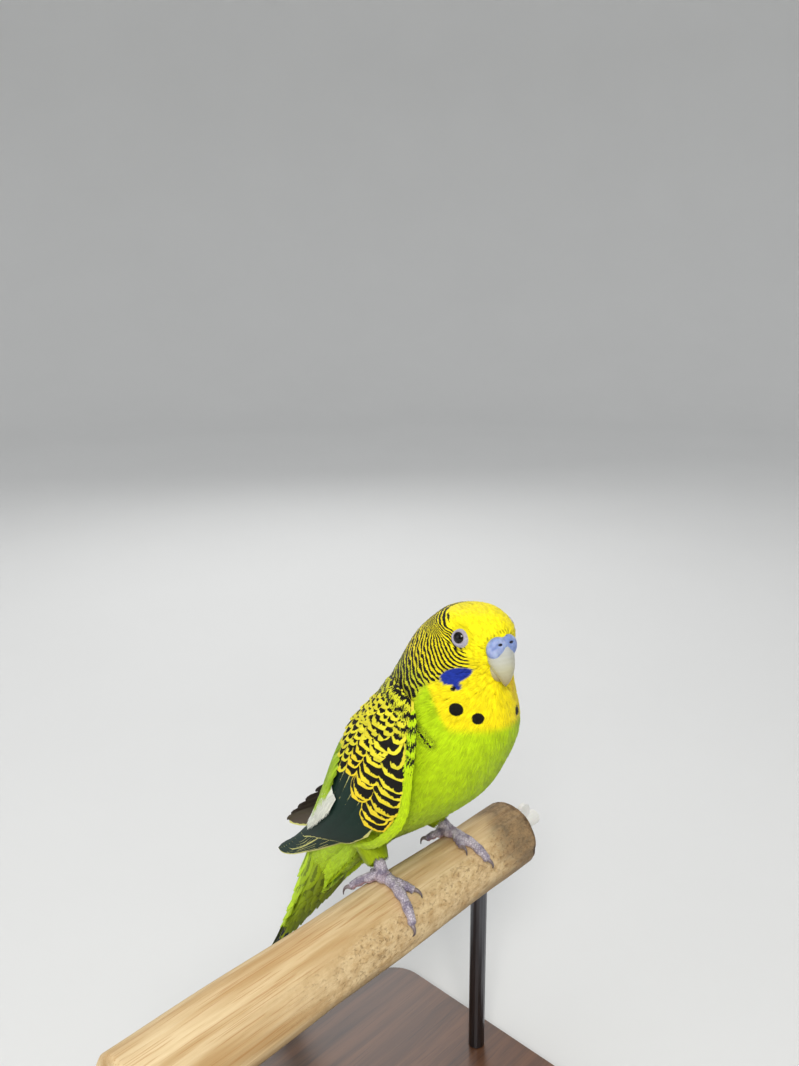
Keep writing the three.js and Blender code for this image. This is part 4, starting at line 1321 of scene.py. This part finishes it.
def limb(line, radius, sides, profile, up=None):
    """A round shell along a line of points. profile(share, phi) scales its radius, and phi starts at up, or
    else at the side away from the perch."""
    ahead = unit(np.gradient(line, axis=0))
    if up is None:
        up = unit((line - [0, -BIRD_AT[1], -PERCH["radius"]]) * [0, 1, 1])
    up = unit(up - ahead * dot(up, ahead))
    side = np.cross(ahead, up)
    share = np.linspace(0, 1, len(line))[:, None]
    phi = circle(sides)[None]
    out = np.cos(phi)[..., None] * up[:, None] + np.sin(phi)[..., None] * side[:, None]
    return line[:, None] + (radius[:, None] * profile(share, phi))[..., None] * out


def round_ends(share, reach=0.07):
    """Closes a limb with round ends."""
    from_end = np.clip(np.minimum(share, 1 - share) / reach, 0, 1)
    return np.sqrt(np.clip(1 - (1 - from_end) ** 2, 0, 1))


def foot_material():
    look = Surface("foot skin", Roughness=0.55, Specular_IOR_Level=0.35)
    place = look.coordinates()
    cells = look.node("ShaderNodeTexVoronoi", {"Vector": place, "Scale": 1500.0}, feature="DISTANCE_TO_EDGE")
    plates = look.step(cells.outputs["Distance"], 0.0, 0.14)
    tone = look.noise(place, 420.0, 4.0, 0.6)
    colour = look.colour_mix(look.step(tone, 0.35, 0.62), linear(142, 132, 152), linear(208, 198, 208))
    colour = look.colour_mix(look.attribute("mark"), colour, linear(196, 152, 160))
    colour = look.colour_mix(look.step(plates, 0.0, 1.0, 0.35, 0.0), colour, linear(104, 88, 104))
    return look.wire(Base_Color=colour, Normal=look.bump(plates, 0.00018, 0.9))


def claw_material():
    look = Surface("claws", Roughness=0.3, Specular_IOR_Level=0.5)
    grain = look.noise(look.coordinates(), 1800.0)
    colour = look.ramp(look.plus(look.attribute("mark"), grain, 0.2), [
        (0.0, linear(150, 136, 138)), (0.5, linear(120, 106, 108)), (1.0, linear(78, 68, 72))])
    return look.wire(Base_Color=colour, Normal=look.bump(grain, 0.00004, 0.5))


FOOT_MATERIAL = foot_material()
CLAW_MATERIAL = claw_material()
CLAW = {"radius": 0.85, "sweep": 17.0}
# The length of one plate across the top of a toe
SCUTE = 0.85


def toe_line(foot, digit, rings):
    """The middle line of a toe, from the palm round the perch."""
    start, end, splay = foot["toes"][digit]
    u = np.linspace(0, 1, 6)
    angle = foot["angle"] + np.where(u == 0, start * 0.4, start + (end - start) * u)
    lift = TOE_RADIUS[digit] + TOE_GAP + np.where(u == 0, 0.6, 0.1)
    places = perch_point(foot["x"] + foot["side"] * splay * u, angle, lift)
    return along(places, np.linspace(0, 1, rings))


def toe_profile(scutes):
    """Plates across the top of a toe, soft pads below, and its joints."""
    def profile(share, phi):
        top = smooth(-0.1, 0.5, np.cos(phi))
        plates = 0.09 * np.abs(np.sin(share * math.pi * scutes)) ** 0.6 - 0.045
        pads = 0.12 * np.cos(share * 6 * math.pi)
        return (1 + plates * top + pads * (1 - 0.6 * top)) * round_ends(share)
    return profile


def claw_line(foot, digit, rings):
    """The middle line of a claw, from its toe's end in an arch down to the wood."""
    _, end, splay = foot["toes"][digit]
    u = np.linspace(0, 1, 6)
    lift = 1.15 + 1.5 * np.sin(u * 2.6) - 0.5 * u
    angle = foot["angle"] + end + math.copysign(1, end) * (u * CLAW["sweep"] - 3.5)
    places = perch_point(foot["x"] + foot["side"] * splay * (1 + 0.3 * u), angle, lift)
    return along(places, np.linspace(0, 1, rings))


def over_wood(shape, out):
    """The place where a foot stands, this far out of the wood."""
    return perch_point(np.array(shape["x"]), np.array(shape["angle"]), out)


def leg_bones(shape):
    """A leg's line, from the sole to the thigh."""
    side = shape["side"]
    sole = over_wood(shape, 2.2)
    return np.array([sole, sole + [-side * 0.7, 2.0, 2.0], [side * 13.2, 1.6, 5.4], [side * 12.0, 6.5, 9.8]])


# The tufts of a thigh: how many, their sizes, the length of the leg's line that they are spread along, and
# how far they stand round it, at the leg and at the belly
THIGH_TUFTS = {"count": 260, "length": 4.4, "half": 1.1, "rise": 0.8, "line": 15.0, "radius": [2.2, 4.0]}


def thigh(shape):
    """Soft tufts that run from the belly down over the top of a leg."""
    bones = leg_bones(shape)
    count = THIGH_TUFTS["count"]
    root, turn = rng.uniform(0.66, 1.0, count), rng.uniform(0, 2 * math.pi, count)
    shares = root[:, None] - TUFT_SHARES[None] * THIGH_TUFTS["length"] / THIGH_TUFTS["line"]
    ahead = unit(bones[3] - bones[1])
    across = unit(np.cross(ahead, [0, 0, 1.0]))
    outward = np.cos(turn)[:, None] * across + np.sin(turn)[:, None] * np.cross(ahead, across)
    thin, thick = THIGH_TUFTS["radius"]
    radius = thin + (thick - thin) * smooth(0.35, 1.0, shares)
    line = along(bones, shares) + radius[..., None] * outward[:, None]
    roots = np.stack([0.6 + 0.05 * root, 0.5 + 0.1 * shape["side"] + 0.01 * turn], -1)
    normals = np.broadcast_to(outward[:, None], line.shape)
    sizes = (np.full(count, THIGH_TUFTS[key]) for key in ("length", "half", "rise"))
    made = barbs_along(line, normals, unit(np.gradient(line, axis=1)), roots, *sizes, 8, BARB_WIDTH)
    coat_piece(f"coat_thigh_{shape['name']}", made)


def foot(shape):
    """A leg with its palm and toes, and the four claws."""
    name, side = shape["name"], shape["side"]
    rings, toe_sides, claw_rings = 110, 40, 40
    share = np.linspace(0, 1, rings)
    claw_share = np.linspace(0, 1, claw_rings)
    claw_radius = 0.9 * CLAW["radius"] * (1 - 0.86 * claw_share ** 1.1)
    below = smooth(-0.2, -0.8, np.cos(circle(toe_sides)))
    skins, claws = [], []
    for digit in range(4):
        line = toe_line(shape, digit, rings)
        length = np.linalg.norm(np.diff(line, axis=0), axis=1).sum()
        radius = 1.22 * TOE_RADIUS[digit] * (1.0 - 0.28 * share)
        skins.append(shell(limb(line, radius, toe_sides, toe_profile(length / SCUTE)), 0.7 * below))
        line = claw_line(shape, digit, claw_rings)
        claw = limb(line, claw_radius, 20, lambda w, phi: round_ends(w, 0.04))
        claws.append(shell(claw, claw_share[:, None]))
    palm = spin(directions(40, 48) * [2.3, 3.0, 1.6], [1, 0, 0], math.radians(shape["angle"]), np.zeros(3))
    skins.append(shell(palm + over_wood(shape, 1.9), 0.2))
    line = along(leg_bones(shape), share)
    radius = 1.85 - 0.3 * np.sin(share * math.pi)
    skins.append(shell(limb(line, radius, 48, toe_profile(10), (side * -0.3, -1, 0.2))))
    shell_piece(f"foot_{name}_skin", skins, FOOT_MATERIAL, (f"foot_{name}", f"leg_{name}"))
    nodes = tuple(f"claw_{name}_{digit}" for digit in range(1, 5))
    shell_piece(f"claws_{name}", claws, CLAW_MATERIAL, nodes)


for shape in FEET:
    foot(shape)
    thigh(shape)


# Perch

def ripples(x, angle, waves, long_scale, round_scale):
    """A smooth random field over the branch, from about -1 to 1, that closes round it."""
    total = np.zeros(np.broadcast(x, angle).shape)
    for _ in range(waves):
        along_x = rng.normal() / long_scale
        turns = int(abs(rng.normal()) * round_scale) + 1
        total += np.cos(along_x * x + turns * angle + rng.uniform(0, 2 * math.pi))
    return total / math.sqrt(waves / 2) / 2


def perch_material():
    look = Surface("peeled wood", Roughness=0.72, Specular_IOR_Level=0.3)
    place = look.coordinates()
    fine = look.streaks(place, (70, 1500, 1500), 4.0, 0.6)
    broad = look.streaks(place, (22, 260, 260))
    vein = look.streaks(place, (40, 2600, 2600), 2.0)
    blotch = look.streaks(place, (300, 420, 420), 5.0, 0.7)
    scribble = look.streaks(place, (900, 1300, 1300), 3.0, 0.7)
    worn = look.attribute("mark")
    pale = look.colour_mix(fine, linear(206, 176, 128), linear(238, 216, 174))
    pale = look.colour_mix(look.step(broad, 0.35, 0.7), pale, linear(190, 154, 104))
    rough = look.colour_mix(look.step(blotch, 0.3, 0.72), linear(226, 200, 154), linear(186, 152, 104))
    pale = look.colour_mix(look.step(vein, 0.58, 0.66, 0.0, 0.55), pale, linear(176, 124, 70))
    colour = look.colour_mix(worn, pale, rough)
    # Brown for painted shade under the branch and at its far end, with some weathering at that end.
    shade_and_weathering_brown = look.colour_mix(look.step(blotch, 0.3, 0.7), linear(62, 44, 30), linear(150, 122, 88))
    colour = look.colour_mix(look.attribute("shade_and_weathering"), colour, shade_and_weathering_brown)
    scratch = look.times(look.step(scribble, 0.56, 0.68), worn)
    colour = look.colour_mix(look.times(scratch, 0.4), colour, linear(150, 114, 70))
    height = look.plus(look.times(fine, 0.5), blotch, worn)
    height = look.math_node("SUBTRACT", height, look.times(scratch, 0.8))
    return look.wire(Base_Color=colour, Normal=look.bump(height, 0.0005, 0.7))


def perch():
    rings, sides = 360, 240
    x = np.linspace(-PERCH["length"] / 2, PERCH["length"] / 2, rings)[:, None]
    angle = circle(sides)[None]
    from_end = PERCH["length"] / 2 - np.abs(x)
    radius = PERCH["radius"] - PERCH["taper"] * x / PERCH["length"] + 0.15 * np.sin(x * 0.11)
    worn = smooth(-0.1, 0.35, np.sin(angle) * 0.9 - 0.5 * np.cos(angle) + 0.3 * ripples(x, angle, 14, 9, 3))
    worn = worn * smooth(-45, 5, x + 14 * ripples(x, angle, 10, 20, 2))
    dents = 0.16 * ripples(x, angle, 30, 5.0, 10) * worn + 0.05 * ripples(x, angle, 40, 30.0, 30)
    radius = radius - 0.12 - np.maximum(dents, -0.08) - 0.7 * (1 - smooth(0.0, 1.2, from_end)) ** 2
    # Painted shade: a brown band along the underside, over the far end (there with some weathering) and at
    # the rim by the washer.
    shade_and_weathering = smooth(0.8, 1.15, 0.75 * np.sin(angle) - 0.8 * np.cos(angle) + 0.12 * ripples(x, angle, 12, 12, 3))
    shade_and_weathering = np.maximum(shade_and_weathering, smooth(46, 62, x + 5 * ripples(x, angle, 14, 7, 3)))
    rim = PERCH["length"] / 2 - x + 0.5 * ripples(x, angle, 10, 9, 5)
    shade_and_weathering = np.maximum(0.8 * shade_and_weathering, smooth(3.2, 1.6, rim))
    middle = np.array([0, 0, -PERCH["radius"]])
    tube = np.stack([x + 0 * angle, -radius * np.sin(angle), radius * np.cos(angle)], -1) + middle
    caps = [0.0, 0.2, 0.4, 0.6, 0.8, 0.93]
    low = [middle + (tube[0] - middle) * [1, k, k] for k in caps]
    high = [middle + (tube[-1] - middle) * [1, k, k] for k in reversed(caps)]
    grid = np.concatenate([low, tube, high])
    pad = ((len(caps), len(caps)), (0, 0))
    branch = {**shell(grid, np.pad(worn, pad, mode="edge")), "shade_and_weathering": np.pad(shade_and_weathering, pad, mode="edge").ravel()}
    new_piece("perch_branch", branch, perch_material(), ("perch",), at=[0, 0, PERCH_TOP])


perch()


# Materials of the solids that stay as they are

def paint(nodes, worn):
    for name in nodes:
        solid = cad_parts[name]
        solid.data.materials.clear()
        solid.data.materials.append(worn)


def grained_metal(name, dark, pale, **uniform):
    look = Surface(name, Metallic=1.0, **uniform)
    brushed = look.streaks(look.coordinates(), (900, 900, 60))
    colour = look.colour_mix(brushed, dark, pale)
    return look.wire(Base_Color=colour, Normal=look.bump(brushed, 0.00003, 0.4))


def stand_material():
    look = Surface("stained wood", Roughness=0.42, Coat_Weight=0.25, Coat_Roughness=0.25)
    place = look.coordinates()
    grain = look.streaks(place, (9, 160, 160), 5.0, 0.6, 0.8)
    pores = look.streaks(place, (60, 2200, 2200), 2.0)
    colour = look.colour_mix(look.step(grain, 0.3, 0.7), linear(62, 38, 24), linear(104, 68, 44))
    colour = look.colour_mix(look.step(pores, 0.55, 0.75, 0.0, 0.5), colour, linear(38, 24, 16))
    return look.wire(Base_Color=colour, Normal=look.bump(pores, 0.00004, 0.3))


def screw_material():
    look = Surface("screw plastic", Roughness=0.4, Subsurface_Weight=0.05)
    tone = look.noise(look.coordinates(), 300.0)
    return look.wire(Base_Color=look.colour_mix(tone, linear(214, 212, 206), linear(238, 236, 230)))


steel = grained_metal("stand steel", linear(70, 70, 74), linear(112, 112, 116), Roughness=0.32)
washer = grained_metal("washer metal", linear(66, 58, 50), linear(104, 92, 80), Roughness=0.5)
paint(["stand_base"], stand_material())
paint(["stand_rod_near", "stand_rod_far"], steel)
paint(["perch_washer"], washer)
paint(["perch_screw"], screw_material())


# Floor, light and camera

def stage():
    """A pale floor that curves up into a wall all round."""
    look = Surface("floor", Roughness=0.9, Specular_IOR_Level=0.2)
    tone = look.noise(look.coordinates(), 6.0)
    look.wire(Base_Color=look.colour_mix(tone, (0.70, 0.70, 0.69), (0.73, 0.73, 0.72)))
    curve = np.linspace(0, math.pi / 2, 24)
    out = np.concatenate([[0.001, 0.5, 1.2], 1.7 + 0.9 * np.sin(curve), [2.6]])
    height = np.concatenate([[0, 0, 0], 0.9 - 0.9 * np.cos(curve), [3.2]])
    round_ = np.linspace(0, 2 * math.pi, 97)
    x, y = out[:, None] * np.cos(round_), out[:, None] * np.sin(round_)
    points = np.stack([x, y, height[:, None] + 0 * round_], -1)
    mesh = bpy.data.meshes.new("floor")
    mesh.from_pydata(points.reshape(-1, 3).tolist(), [], grid_faces(len(out), len(round_)).tolist())
    mesh.materials.append(look.material)
    mesh.shade_smooth()
    floor = placed("floor", mesh)
    world = bpy.data.worlds.new("studio")
    bpy.context.scene.world = world
    world.use_nodes = True
    background = world.node_tree.nodes["Background"]
    background.inputs["Color"].default_value = (0.95, 0.97, 1.0, 1)
    background.inputs["Strength"].default_value = 0.85


def area_light(name, at, towards, size, power, colour=(1, 1, 1)):
    light = bpy.data.lights.new(name, "AREA")
    light.energy = power
    light.size = size
    light.color = colour
    lamp = placed(name, light)
    lamp.location = at
    lamp.rotation_euler = (Vector(towards) - Vector(at)).to_track_quat("-Z", "Y").to_euler()


# The photograph's camera, as worked out from the perch: where it is, the picture's directions, its focal
# length and long side in pixels, and the sensor's long side in millimetres
CAMERA_AT = (-0.1416, -0.1527, 0.2438)
CAMERA_RIGHT = (0.688, -0.7257, -0.007)
CAMERA_UP = (0.184, 0.1654, 0.969)
CAMERA_BACK = (-0.702, -0.668, 0.2475)
FOCAL_PIXELS = 899
LONG_SIDE_PIXELS = 1066
SENSOR = 36.0


def camera():
    made = bpy.data.cameras.new("camera")
    made.sensor_width = SENSOR
    made.lens = FOCAL_PIXELS / LONG_SIDE_PIXELS * SENSOR
    made.clip_start = 0.01
    seen = placed("camera", made)
    turn = Matrix((CAMERA_RIGHT, CAMERA_UP, CAMERA_BACK)).transposed().to_4x4()
    seen.matrix_world = Matrix.Translation(Vector(CAMERA_AT)) @ turn
    bpy.context.scene.camera = seen


stage()
area_light("key", (-0.55, -0.5, 0.75), (0.0, 0.0, 0.13), 0.35, 7.0, (1.0, 0.98, 0.95))
area_light("fill", (-0.8, 0.3, 0.4), (0.0, 0.0, 0.12), 0.6, 1.2, (0.95, 0.97, 1.0))
area_light("rim", (0.5, 0.6, 0.6), (0.0, 0.0, 0.13), 0.4, 2.0)
camera()
bpy.context.scene.view_settings.view_transform = "Standard"
